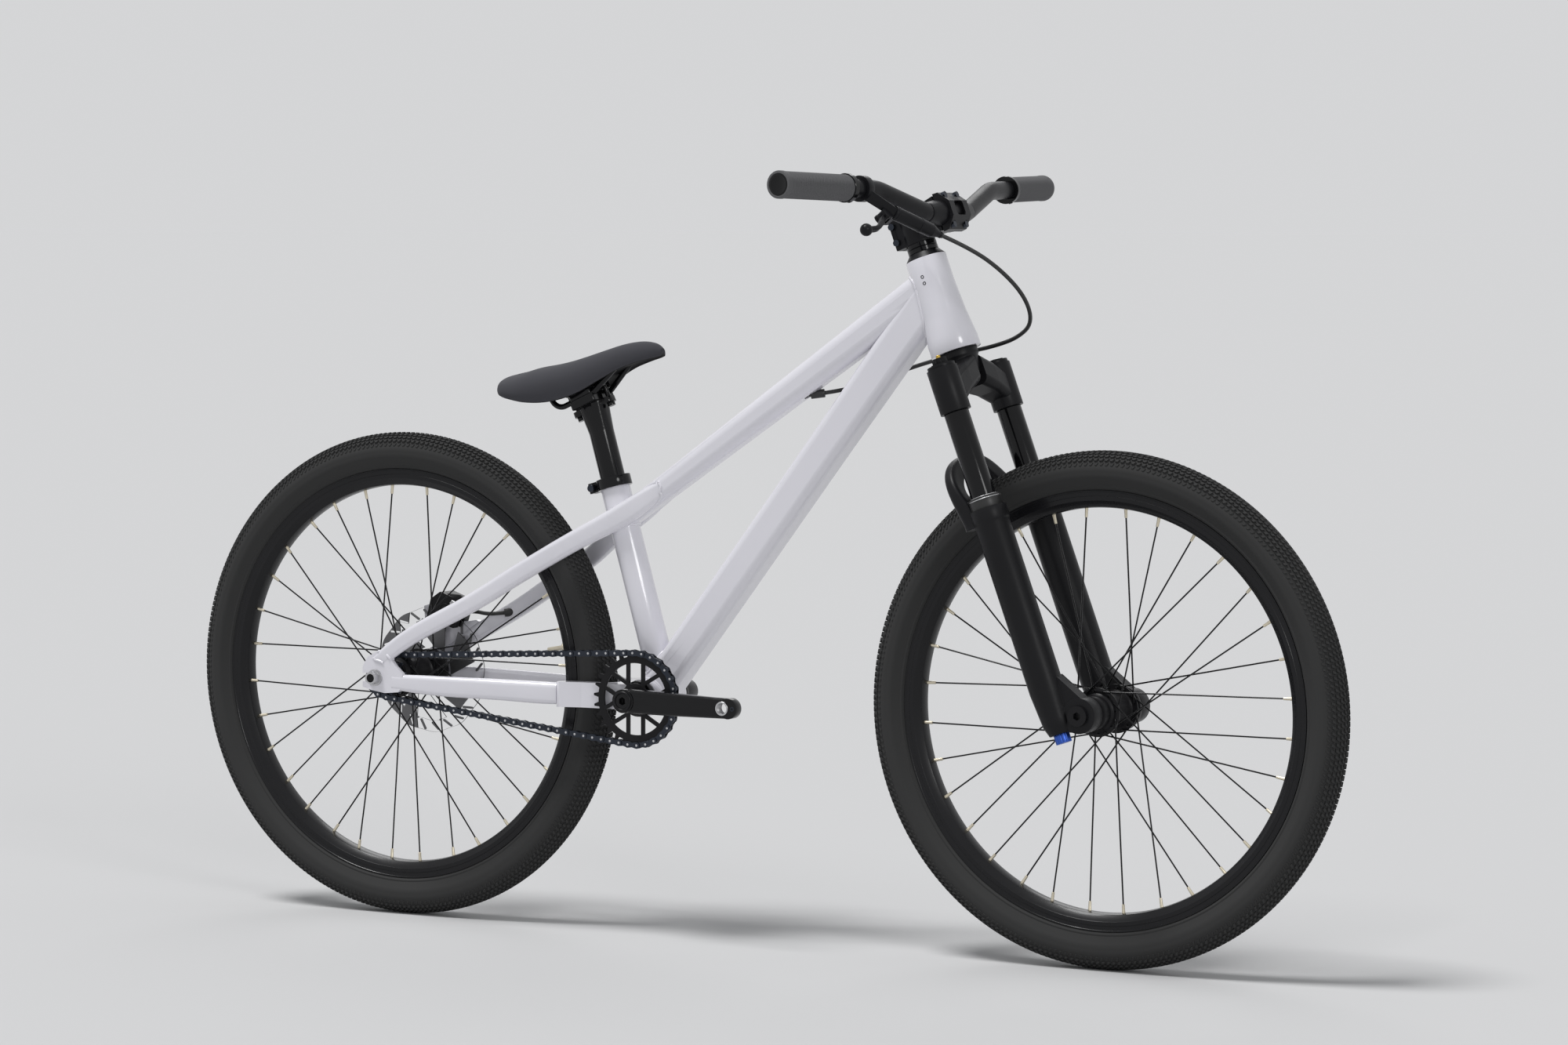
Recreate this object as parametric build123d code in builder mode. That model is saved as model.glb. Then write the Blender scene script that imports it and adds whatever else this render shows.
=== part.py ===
from build123d import *
import os
from math import acos, asin, atan2, cos, degrees, pi, radians, sin, sqrt, tan

os.makedirs("parts", exist_ok=True)

# Dirt jump bicycle with 24-inch wheels, millimetres, +X forward, +Y to the rider's left, +Z up.
# The origin is on the ground, midway between the two axles.

# Wheels
wheelbase = 976.0
tyre_radius = 305.5
tyre_half_width = 24.5
tyre_wall = 3.5
bead_top = 266.0
tyre_waist = 268.0
rim_gap = 0.2
bead_radius = 252.6
rim_inner_radius = 238.5
rim_outer_radius = 259.5
rim_half_width = 15.0
rim_lip = 2.2
spoke_count = 32
spoke_radius = 1.0
nipple_radius = 2.1
nipple_length = 11.0
nipple_offset = 3.2
spoke_crossings = 3
front_phase = 96.05
rear_phase = 94.75
front_valve_turn = 22.5
rear_valve_turn = -90.0
flange_radius = 29.0
flange_hole_radius = 25.5
flange_y = 26.0
flange_thickness = 3.0
flange_edge = 0.5
flange_foot = 22.5
hub_barrel_radius = 16.0
valve_length = 38.0
valve_radius = 3.0

# Rear hub, driver and disc
rear_axle_radius = 5.0
rear_half_width = 67.5
bearing_gap = 0.05
end_gap = 0.15
driver_start = 34.0
driver_radius = 17.0
rotor_y = 55.0
rotor_thickness = 1.8
rotor_radius = 80.0
rotor_band = 13.5
rotor_bolt_circle = 22.0
disc_flange_radius = 27.0

# Front hub and thru axle
front_axle_radius = 10.0
front_half_width = 55.0

# Frame
head_angle = 69.55
head_foot = (289.2, 0.0, 723.0)
head_length = 117.7
head_top_radius = 24.8
head_foot_radius = 30.6
seat_angle = 73.85
seat_tube_radius = 18.4
seat_tube_length = 279.0
seat_offset = 16.5
bottom_bracket_height = 293.5
shell_radius = 23.0
shell_half_width = 36.5
tube_wall = 2.0
slot_half_height = 5.1

# Drive
chain_pitch = 12.7
ring_teeth = 28
cog_teeth = 13
chain_links = 78
chain_line = 48.0
ring_thickness = 3.0
spindle_radius = 12.0
crank_length = 142.0
crank_face = 86.0
pedal_hole_radius = 7.1

# Fork
crown_offset = 9.0
leg_spacing = 69.5
stanchion_radius = 15.0
slide_gap = 0.08
crown_top = 8.0
crown_leg_top = 22.0
crown_leg_foot = 76.0
seal_top = 182.0
leg_foot = 473.0
leg_radius = 21.0
fork_travel = 100.0
steerer_radius = 14.3
steerer_foot_radius = 19.8

# Cockpit
bar_clamp = (275.0, 0.0, 887.4)
bar_radius = 11.1
bar_centre_radius = 15.9
grip_radius = 15.6
grip_inner = 212.0
grip_outer = 333.0
lever_y = 177.0

# Seat
seatpost_radius = 15.45
collar_height = 13.0

# Derived places
axle_height = tyre_radius
rear_axle = (-wheelbase / 2, 0.0, axle_height)
front_axle = (wheelbase / 2, 0.0, axle_height)
ring_radius = chain_pitch / (2 * sin(pi / ring_teeth))
cog_radius = chain_pitch / (2 * sin(pi / cog_teeth))


def chain_length(reach):
    """Length of a taut chain round both sprockets, for a distance between their centres."""
    lean = asin((ring_radius - cog_radius) / reach)
    ring_arc = ring_teeth * chain_pitch * (pi + 2 * lean) / (2 * pi)
    cog_arc = cog_teeth * chain_pitch * (pi - 2 * lean) / (2 * pi)
    return 2 * reach * cos(lean) + ring_arc + cog_arc


# The bottom bracket stands where a chain of whole links runs taut.
near_reach = 340.0
far_reach = 390.0
for _ in range(50):
    middle_reach = (near_reach + far_reach) / 2
    if chain_length(middle_reach) < chain_links * chain_pitch:
        near_reach = middle_reach
    else:
        far_reach = middle_reach
chain_reach = near_reach
drop = axle_height - bottom_bracket_height
bottom_bracket = (
    rear_axle[0] + sqrt(chain_reach**2 - drop**2),
    0.0,
    bottom_bracket_height,
)

# Steering axis, seat tube axis and the local frames that follow them
head_sin = sin(radians(head_angle))
head_cos = cos(radians(head_angle))
head = Plane(origin=head_foot, x_dir=(head_sin, 0, head_cos), z_dir=(-head_cos, 0, head_sin))
head_axis = Axis(head_foot, (-head_cos, 0, head_sin))
seat_sin = sin(radians(seat_angle))
seat_cos = cos(radians(seat_angle))
seat_foot = (bottom_bracket[0] + seat_offset, 0.0, bottom_bracket_height)
seat = Plane(origin=seat_foot, x_dir=(seat_sin, 0, seat_cos), z_dir=(-seat_cos, 0, seat_sin))
axle_down = (
    (front_axle[0] - head_foot[0]) * head_cos - (front_axle[2] - head_foot[2]) * head_sin
)
axle_ahead = (
    (front_axle[0] - head_foot[0]) * head_sin + (front_axle[2] - head_foot[2]) * head_cos
)


def in_head(ahead, left, down):
    """Point given by its place ahead of the steering axis, to the left, and below the head tube."""
    return Vector(
        head_foot[0] + ahead * head_sin + down * head_cos,
        left,
        head_foot[2] + ahead * head_cos - down * head_sin,
    )


def in_seat(ahead, left, up):
    """Point given by its place ahead of the seat tube axis, to the left, and up that axis."""
    return Vector(
        seat_foot[0] + ahead * seat_sin - up * seat_cos,
        left,
        seat_foot[2] + ahead * seat_cos + up * seat_sin,
    )


def section_at(point, direction, up=(0, 0, 1)):
    """Plane square to a direction whose local y is as near to up as it can be."""
    forward = Vector(direction).normalized()
    side = Vector(up).cross(forward).normalized()
    return Plane(origin=point, x_dir=side, z_dir=forward)


def wheel_place(axle, turn=0.0):
    """Place of a wheel drawn flat: its local z points to the drive side."""
    return Location(axle, (90, 0, 0)) * Location((0, 0, 0), (0, 0, turn))


# Head tube: tapered, with a bearing seat at each end
bearing_depth = 9.0
upper_bearing_radius = 20.9
lower_bearing_radius = 26.0
head_bore_radius = 20.6
with BuildPart() as head_blank:
    with BuildSketch(Plane(origin=head_foot, x_dir=head.x_dir, z_dir=(0, -1, 0))):
        with BuildLine():
            Polyline(
                (0, 0),
                (head_foot_radius, 0),
                (head_foot_radius, 14),
                (27.0, 44),
                (head_top_radius, 84),
                (head_top_radius, head_length),
                (0, head_length),
                close=True,
            )
        make_face()
    revolve(axis=head_axis)

with BuildPart() as head_tube:
    add(head_blank.part)
    with BuildSketch(head):
        Circle(head_bore_radius)
    extrude(amount=head_length, mode=Mode.SUBTRACT)
    with BuildSketch(head):
        Circle(lower_bearing_radius)
    extrude(amount=bearing_depth, mode=Mode.SUBTRACT)
    with BuildSketch(head.offset(head_length - bearing_depth)):
        Circle(upper_bearing_radius)
    extrude(amount=bearing_depth, mode=Mode.SUBTRACT)
head_tube.part.label = "head_tube"
export_step(head_tube.part, "parts/head_tube.step")

# Two headset bearings, pressed in the head tube, turning round the steerer
race_gap = 0.05
with BuildPart() as headset_bearings:
    with BuildSketch(head):
        Circle(lower_bearing_radius)
        Circle(steerer_foot_radius + race_gap, mode=Mode.SUBTRACT)
    extrude(amount=bearing_depth)
    with BuildSketch(head.offset(head_length - bearing_depth)):
        Circle(upper_bearing_radius)
        Circle(steerer_radius + race_gap, mode=Mode.SUBTRACT)
    extrude(amount=bearing_depth)
headset_bearings.part.label = "headset_bearings"
export_step(headset_bearings.part, "parts/headset_bearings.step")

# Bottom bracket shell
shell_end = Plane(
    origin=(bottom_bracket[0], shell_half_width, bottom_bracket[2]), z_dir=(0, -1, 0)
)
with BuildPart() as shell_blank:
    with BuildSketch(shell_end):
        Circle(shell_radius)
    extrude(amount=2 * shell_half_width)

# Two bearing cups screwed into the shell
cup_flange = 8.0
with BuildPart() as bottom_bracket_cups:
    for side in (-1, 1):
        inner_face = Plane(origin=(bottom_bracket[0], side * 18.0, bottom_bracket[2]), z_dir=(0, side, 0))
        with BuildSketch(inner_face):
            Circle(shell_radius - 4.5)
            Circle(spindle_radius + bearing_gap, mode=Mode.SUBTRACT)
        extrude(amount=shell_half_width - 18.0)
        with BuildSketch(inner_face.offset(shell_half_width - 18.0)):
            Circle(shell_radius - 1.0)
            Circle(spindle_radius + bearing_gap, mode=Mode.SUBTRACT)
        extrude(amount=cup_flange)
bottom_bracket_cups.part.label = "bottom_bracket_cups"
export_step(bottom_bracket_cups.part, "parts/bottom_bracket_cups.step")

# Down tube: rounded square section, straight, from the shell to the lower half of the head tube
down_low = Vector(bottom_bracket) + Vector(0, 0, -1.0)
down_high = Vector(262.0, 0, 793.0)
down_run = down_high - down_low
down_plane = section_at(down_low, down_run)
with BuildPart() as down_blank:
    with BuildSketch(down_plane):
        RectangleRounded(43.0, 43.0, 11.0)
    with BuildSketch(down_plane.offset(down_run.length * 0.62)):
        RectangleRounded(42.0, 45.0, 11.0)
    with BuildSketch(down_plane.offset(down_run.length)):
        RectangleRounded(38.0, 50.0, 11.0)
    loft(ruled=True)

with BuildPart() as down_bore:
    with BuildSketch(down_plane):
        RectangleRounded(43.0 - 2 * tube_wall, 43.0 - 2 * tube_wall, 9.0)
    with BuildSketch(down_plane.offset(down_run.length * 0.62)):
        RectangleRounded(42.0 - 2 * tube_wall, 45.0 - 2 * tube_wall, 9.0)
    with BuildSketch(down_plane.offset(down_run.length)):
        RectangleRounded(38.0 - 2 * tube_wall, 50.0 - 2 * tube_wall, 9.0)
    loft(ruled=True)

with BuildPart() as down_tube:
    add(down_blank.part)
    add(down_bore.part, mode=Mode.SUBTRACT)
    add(head_blank.part, mode=Mode.SUBTRACT)
    add(shell_blank.part, mode=Mode.SUBTRACT)
    # The stretches beyond the two joints fall away.
    with BuildSketch(head.offset(-40)):
        Rectangle(200, 80, align=(Align.MIN, Align.CENTER))
    extrude(amount=240, mode=Mode.SUBTRACT)
    with BuildSketch(section_at(down_low, down_run)):
        Rectangle(80, 80)
    extrude(amount=-60, mode=Mode.SUBTRACT)
down_tube.part.label = "down_tube"
export_step(down_tube.part, "parts/down_tube.step")

# Seat tube: round, standing on the shell and the down tube, bored for the seatpost
with BuildPart() as seat_blank:
    with BuildSketch(seat):
        Circle(seat_tube_radius)
    extrude(amount=seat_tube_length)

with BuildPart() as seat_tube_cut:
    add(seat_blank.part)
    with BuildSketch(seat):
        Circle(seatpost_radius + bearing_gap)
    extrude(amount=seat_tube_length, mode=Mode.SUBTRACT)
    add(down_blank.part, mode=Mode.SUBTRACT)
    add(shell_blank.part, mode=Mode.SUBTRACT)
    # Compression slot at the back of the top
    with BuildSketch(seat.offset(seat_tube_length - 34)):
        with Locations((-seat_tube_radius, 0)):
            Rectangle(14, 2.4)
    extrude(amount=34, mode=Mode.SUBTRACT)

with BuildPart() as seat_tube:
    add(seat_tube_cut.part.solids().sort_by(SortBy.VOLUME)[-1])
seat_tube.part.label = "seat_tube"
export_step(seat_tube.part, "parts/seat_tube.step")

# Top tube: tapering from the head tube down to the seat tube
top_low = Vector(-176.0, 0, 505.0)
top_high = Vector(262.0, 0, 807.5)
top_run = top_high - top_low
top_plane = section_at(top_low, top_run)
with BuildPart() as top_blank:
    with BuildSketch(top_plane):
        RectangleRounded(31.0, 28.5, 11.0)
    with BuildSketch(top_plane.offset(top_run.length)):
        RectangleRounded(38.0, 42.0, 14.0)
    loft(ruled=True)

with BuildPart() as top_bore:
    with BuildSketch(top_plane):
        RectangleRounded(31.0 - 2 * tube_wall, 28.5 - 2 * tube_wall, 9.0)
    with BuildSketch(top_plane.offset(top_run.length)):
        RectangleRounded(38.0 - 2 * tube_wall, 42.0 - 2 * tube_wall, 12.0)
    loft(ruled=True)

# Opening in the underside where the brake hose enters through its grommet
hose_radius = 2.5
grommet_radius = 5.2
hose_entry = [Vector(124, 15, 673), Vector(90, 0.55, 668.3)]
entry_plane = section_at(hose_entry[0], hose_entry[1] - hose_entry[0])
with BuildPart() as top_tube:
    add(top_blank.part)
    add(top_bore.part, mode=Mode.SUBTRACT)
    add(head_blank.part, mode=Mode.SUBTRACT)
    add(seat_blank.part, mode=Mode.SUBTRACT)
    add(down_blank.part, mode=Mode.SUBTRACT)
    with BuildSketch(head.offset(-40)):
        Rectangle(200, 80, align=(Align.MIN, Align.CENTER))
    extrude(amount=240, mode=Mode.SUBTRACT)
    with BuildSketch(seat.offset(120)):
        Rectangle(120, 80, align=(Align.MAX, Align.CENTER))
    extrude(amount=200, mode=Mode.SUBTRACT)
    with BuildSketch(entry_plane.offset(15)):
        Circle(grommet_radius)
    extrude(amount=28, mode=Mode.SUBTRACT)
top_tube.part.label = "top_tube"
export_step(top_tube.part, "parts/top_tube.step")


# Yoke behind the shell: a forged block whose two arms pass the tyre
yoke_half_height = 15.5
yoke_centre = 294.5
with BuildPart() as chainstay_yoke:
    with BuildSketch(Plane.XY.offset(yoke_centre - yoke_half_height)):
        with BuildLine():
            Polyline(
                (-120, 35),
                (-152, 41.5),
                (-205, 43.5),
                (-238, 52),
                (-238, 34.5),
                (-205, 30.5),
                (-176, 27),
                (-168, 14),
                (-168, -14),
                (-176, -27),
                (-205, -30.5),
                (-238, -34.5),
                (-238, -52),
                (-205, -43.5),
                (-152, -41.5),
                (-120, -35),
                close=True,
            )
        make_face()
    extrude(amount=2 * yoke_half_height)
    fillet(chainstay_yoke.edges().filter_by(Axis.Z).group_by(Axis.X)[0], radius=4)
    add(shell_blank.part, mode=Mode.SUBTRACT)
    add(seat_blank.part, mode=Mode.SUBTRACT)
    add(down_blank.part, mode=Mode.SUBTRACT)

# The shell and the yoke are one forging.
with BuildPart() as bottom_bracket_shell:
    add(chainstay_yoke.part.solids().sort_by(SortBy.VOLUME)[-1])
    add(shell_blank.part)
    with BuildSketch(shell_end):
        Circle(shell_radius - 4.5)
    extrude(amount=2 * shell_half_width, mode=Mode.SUBTRACT)
    # The arms of the yoke leave room for the flanges of the cups.
    for side in (-1, 1):
        with BuildSketch(
            Plane(origin=(bottom_bracket[0], side * shell_half_width, bottom_bracket[2]), z_dir=(0, side, 0))
        ):
            Circle(shell_radius - 0.7)
        extrude(amount=30, mode=Mode.SUBTRACT)
bottom_bracket_shell.part.label = "bottom_bracket_shell"
export_step(bottom_bracket_shell.part, "parts/bottom_bracket_shell.step")

# Dropout plates, open to the rear, one each side
dropout_thickness = 7.0
dropout_outline = [
    (-19, -12.5),
    (-6, -16),
    (14, -19),
    (34, -17),
    (42, -8),
    (40, 6),
    (30, 15),
    (18, 29),
    (2, 33),
    (-12, 25),
    (-19, 13),
]


def chainstay_points(side):
    """Centre line of a chainstay from the yoke to the dropout, side -1 for the drive side."""
    path = [
        (-238, 43.5, 295.0),
        (-285, 50.5, 295.8),
        (-335, 57.0, 297.0),
        (-395, 64.5, 298.0),
        (-438, 68.0, 299.5),
        (-464, 69.5, 300.5),
    ]
    return [Vector(x, side * y, z) for x, y, z in path]


def seatstay_points(side):
    """Centre line of a seatstay from the side of the top tube, past the seat tube, to the dropout."""
    path = [
        (-108, 9.5, 551.0, 0.0),
        (-130, 15.0, 536.5, 0.0),
        (-156, 20.5, 519.0, 0.0),
        (-190, 26.5, 500.0, 4.0),
        (-222, 37.0, 482.0, 9.0),
        (-258, 44.5, 461.0, 12.0),
        (-300, 50.0, 436.5, 13.0),
        (-358, 57.0, 402.0, 13.0),
        (-425, 65.0, 367.0, 13.0),
        (-465, 69.0, 341.5, 10.0),
        (-486, 70.0, 325.0, 5.0),
    ]
    # The brake side runs a little lower along its middle.
    lowered = 1.0 if side > 0 else 0.0
    return [Vector(x, side * y, z - lowered * d) for x, y, z, d in path]


def stay_planes(points):
    """Section planes square to a stay's run at each of its points."""
    planes = []
    for index, point in enumerate(points):
        before = points[max(index - 1, 0)]
        after = points[min(index + 1, len(points) - 1)]
        planes.append(section_at(point, after - before))
    return planes


dropout_face = Plane(
    origin=(rear_axle[0], -rear_half_width, axle_height), x_dir=(1, 0, 0), z_dir=(0, -1, 0)
)
with BuildPart() as drive_dropout:
    with BuildSketch(dropout_face):
        with BuildLine():
            Polyline(*dropout_outline, close=True)
        make_face()
        with Locations((-12, 0)):
            Rectangle(28, 2 * slot_half_height, mode=Mode.SUBTRACT)
        with Locations((2, 0)):
            Circle(slot_half_height, mode=Mode.SUBTRACT)
    extrude(amount=dropout_thickness)

with BuildPart() as brake_dropout:
    add(drive_dropout.part.mirror(Plane.XZ))

hub_clear_radius = 22.0
with BuildPart() as hub_clearance:
    with BuildSketch(Plane(origin=(rear_axle[0], 120, axle_height), z_dir=(0, -1, 0))):
        Circle(hub_clear_radius)
    extrude(amount=240)

chainstays = {}
seatstays = {}
for side, dropout in ((-1, drive_dropout), (1, brake_dropout)):
    stay_places = stay_planes(chainstay_points(side))
    with BuildPart() as chainstay:
        for place, width, height in zip(stay_places, (16, 16, 15, 14, 13, 11), (27, 27, 26, 25, 22, 19)):
            with BuildSketch(place):
                RectangleRounded(width, height, width * 0.42)
        loft()
        add(bottom_bracket_shell.part, mode=Mode.SUBTRACT)
        add(hub_clearance.part, mode=Mode.SUBTRACT)
        add(dropout.part, mode=Mode.SUBTRACT)
    chainstays[side] = chainstay
    stay_places = stay_planes(seatstay_points(side))
    with BuildPart() as seatstay:
        for place, width, height in zip(
            stay_places,
            (13, 15, 17, 17, 16, 15, 15, 15, 14, 12, 11),
            (21, 25, 28, 26.5, 25, 24.5, 24, 23, 22, 20, 18),
        ):
            with BuildSketch(place):
                RectangleRounded(width, height, width * 0.42)
        loft()
        add(seat_blank.part, mode=Mode.SUBTRACT)
        add(top_blank.part, mode=Mode.SUBTRACT)
        add(hub_clearance.part, mode=Mode.SUBTRACT)
        add(dropout.part, mode=Mode.SUBTRACT)
        add(chainstay.part, mode=Mode.SUBTRACT)
    seatstays[side] = seatstay

# Each chainstay is welded to its dropout.
with BuildPart() as drive_chainstay:
    add(chainstays[-1].part.solids().sort_by(SortBy.VOLUME)[-1])
    add(drive_dropout.part)
drive_chainstay.part.label = "drive_chainstay"
export_step(drive_chainstay.part, "parts/drive_chainstay.step")

with BuildPart() as brake_chainstay:
    add(chainstays[1].part.solids().sort_by(SortBy.VOLUME)[-1])
    add(brake_dropout.part)
brake_chainstay.part.label = "brake_chainstay"
export_step(brake_chainstay.part, "parts/brake_chainstay.step")

with BuildPart() as drive_seatstay:
    add(seatstays[-1].part.solids().sort_by(SortBy.VOLUME)[-1])
drive_seatstay.part.label = "drive_seatstay"
export_step(drive_seatstay.part, "parts/drive_seatstay.step")

# Opening in the inner face of the brake side stay, for the hose and its grommet
hose_exit = [Vector(-360, 58, 385), Vector(-380, 43, 382)]
exit_plane = section_at(hose_exit[0], hose_exit[1] - hose_exit[0])
with BuildPart() as brake_stay:
    add(seatstays[1].part.solids().sort_by(SortBy.VOLUME)[-1])
    with BuildSketch(exit_plane):
        Circle(grommet_radius)
    extrude(amount=18.0, mode=Mode.SUBTRACT)

# Seat collar round the top of the seat tube, slotted at the back, with its bolt
collar_foot = seat_tube_length - collar_height
collar_radius = 21.8
with BuildPart() as seat_collar:
    with BuildSketch(seat.offset(collar_foot)):
        Circle(collar_radius)
        with Locations((-collar_radius - 3, 0)):
            Rectangle(15, 17)
        Circle(seat_tube_radius, mode=Mode.SUBTRACT)
        with Locations((-collar_radius - 4, 0)):
            Rectangle(16, 2.4, mode=Mode.SUBTRACT)
    extrude(amount=collar_height)
    collar_ear = in_seat(-collar_radius - 5.5, 0, collar_foot + collar_height / 2)
    with BuildSketch(Plane(origin=collar_ear, z_dir=(0, 1, 0))):
        Circle(2.6)
    extrude(amount=20, both=True, mode=Mode.SUBTRACT)
seat_collar.part.label = "seat_collar"
export_step(seat_collar.part, "parts/seat_collar.step")

collar_bolt_centre = in_seat(-collar_radius - 5.5, 0, collar_foot + collar_height / 2)
with BuildPart() as seat_collar_bolt:
    with BuildSketch(Plane(origin=collar_bolt_centre - Vector(0, 8.5, 0), z_dir=(0, 1, 0))):
        Circle(2.6)
    extrude(amount=17)
    with BuildSketch(Plane(origin=collar_bolt_centre - Vector(0, 8.5, 0), z_dir=(0, -1, 0))):
        Circle(4.4)
    extrude(amount=5)
    with BuildSketch(Plane(origin=collar_bolt_centre + Vector(0, 8.5, 0), z_dir=(0, 1, 0))):
        RegularPolygon(4.6, 6)
    extrude(amount=4)
seat_collar_bolt.part.label = "seat_collar_bolt"
export_step(seat_collar_bolt.part, "parts/seat_collar_bolt.step")

# Rear axle with its flanged nuts, fixed in the dropouts
nut_start = rear_half_width + dropout_thickness
with BuildPart() as rear_axle_rod:
    with BuildSketch(Plane(origin=(rear_axle[0], -nut_start - 10.0, axle_height), z_dir=(0, 1, 0))):
        Circle(rear_axle_radius)
    extrude(amount=2 * (nut_start + 10.0))
    for side in (-1, 1):
        nut_face = Plane(origin=(rear_axle[0], side * nut_start, axle_height), z_dir=(0, side, 0))
        with BuildSketch(nut_face):
            Circle(10.5)
        extrude(amount=2.4)
        with BuildSketch(nut_face.offset(2.4)):
            RegularPolygon(8.6, 6)
        extrude(amount=9.0)
rear_axle_rod.part.label = "rear_axle"
export_step(rear_axle_rod.part, "parts/rear_axle.step")


# Steerer: a taper from the crown up through the head tube, one piece with the crown
stem_foot_up = head_length + 19.3
stem_height = 38.0
steerer_top = stem_foot_up + stem_height - 3.0
crown_leg_radius = 18.6
with BuildPart() as fork_crown:
    with BuildSketch(Plane(origin=head_foot, x_dir=head.x_dir, z_dir=(0, -1, 0))):
        with BuildLine():
            Polyline(
                (0, -30),
                (20, -30),
                (24, -crown_top - 2),
                (steerer_foot_radius + 5.5, -crown_top),
                (steerer_foot_radius + 5.5, -0.3),
                (steerer_foot_radius, -0.3),
                (steerer_foot_radius, bearing_depth + 3),
                (steerer_radius, bearing_depth + 34),
                (steerer_radius, steerer_top),
                (0, steerer_top),
                close=True,
            )
        make_face()
    revolve(axis=head_axis)
    # Two hollowed shoulders reach out to the legs.
    for side in (-1, 1):
        with BuildSketch(section_at(in_head(2, side * 8, 27), (0, side, 0), head.z_dir)):
            RectangleRounded(45, 38, 10)
        with BuildSketch(section_at(in_head(6, side * 36, 37), (0, side, 0), head.z_dir)):
            RectangleRounded(38, 36, 9)
        crown_end = in_head(crown_offset, side * leg_spacing, 54)
        with BuildSketch(section_at(crown_end, (0, side, 0), head.z_dir)):
            RectangleRounded(30, 40, 9)
        loft(ruled=True)
        leg_top = Plane(origin=in_head(crown_offset, side * leg_spacing, crown_leg_top), z_dir=head.z_dir)
        with BuildSketch(leg_top):
            Circle(crown_leg_radius)
        extrude(amount=-(crown_leg_foot - crown_leg_top))
    # The underside is cut away between the legs.
    with BuildSketch(Plane(origin=in_head(0, 0, 94), x_dir=(0, 1, 0), z_dir=head.x_dir)):
        Circle(39)
    extrude(amount=60, both=True, mode=Mode.SUBTRACT)
    for side in (-1, 1):
        leg_top = Plane(origin=in_head(crown_offset, side * leg_spacing, crown_leg_top), z_dir=head.z_dir)
        with BuildSketch(leg_top):
            Circle(stanchion_radius)
        extrude(amount=-(crown_leg_foot - crown_leg_top), mode=Mode.SUBTRACT)
fork_crown.part.label = "fork_crown"
export_step(fork_crown.part, "parts/fork_crown.step")

# Two stanchions held by the crown, hollow, sliding in the lower legs
stanchion_foot = 352.0
stanchion_wall = 2.2
with BuildPart() as stanchions:
    for side in (-1, 1):
        leg_top = in_head(crown_offset, side * leg_spacing, crown_leg_top)
        with BuildSketch(Plane(origin=leg_top, z_dir=head.z_dir)):
            Circle(stanchion_radius)
            Circle(stanchion_radius - stanchion_wall, mode=Mode.SUBTRACT)
        extrude(amount=-(stanchion_foot - crown_leg_top))
stanchions.part.label = "stanchions"
export_step(stanchions.part, "parts/stanchions.step")

# Caps screwed in the tops of the stanchions, the drive side one with a dial
cap_height = 4.0
dial_height = 6.5
dial_radius = 9.0
dial_hole = 4.0
with BuildPart() as fork_top_caps:
    for side in (-1, 1):
        cap_face = Plane(origin=in_head(crown_offset, side * leg_spacing, crown_leg_top), z_dir=head.z_dir)
        with BuildSketch(cap_face):
            Circle(16.8)
        extrude(amount=cap_height)
        with BuildSketch(cap_face):
            Circle(stanchion_radius - stanchion_wall)
        extrude(amount=-12)
        with BuildSketch(cap_face.offset(cap_height)):
            RegularPolygon(13.0, 6)
        extrude(amount=1.5)
    with BuildSketch(Plane(origin=in_head(crown_offset, -leg_spacing, 10), z_dir=head.z_dir)):
        Circle(dial_hole)
    extrude(amount=40, both=True, mode=Mode.SUBTRACT)
fork_top_caps.part.label = "fork_top_caps"
export_step(fork_top_caps.part, "parts/fork_top_caps.step")

with BuildPart() as compression_dial:
    dial_down = crown_leg_top - cap_height - 1.5 - end_gap
    dial_face = Plane(origin=in_head(crown_offset, -leg_spacing, dial_down), z_dir=head.z_dir)
    with BuildSketch(dial_face):
        Circle(dial_radius)
        with PolarLocations(dial_radius + 0.6, 8):
            Circle(1.5, mode=Mode.SUBTRACT)
    extrude(amount=dial_height)
    with BuildSketch(dial_face):
        Circle(dial_hole - bearing_gap)
    extrude(amount=-14)
compression_dial.part.label = "compression_dial"
export_step(compression_dial.part, "parts/compression_dial.step")

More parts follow.
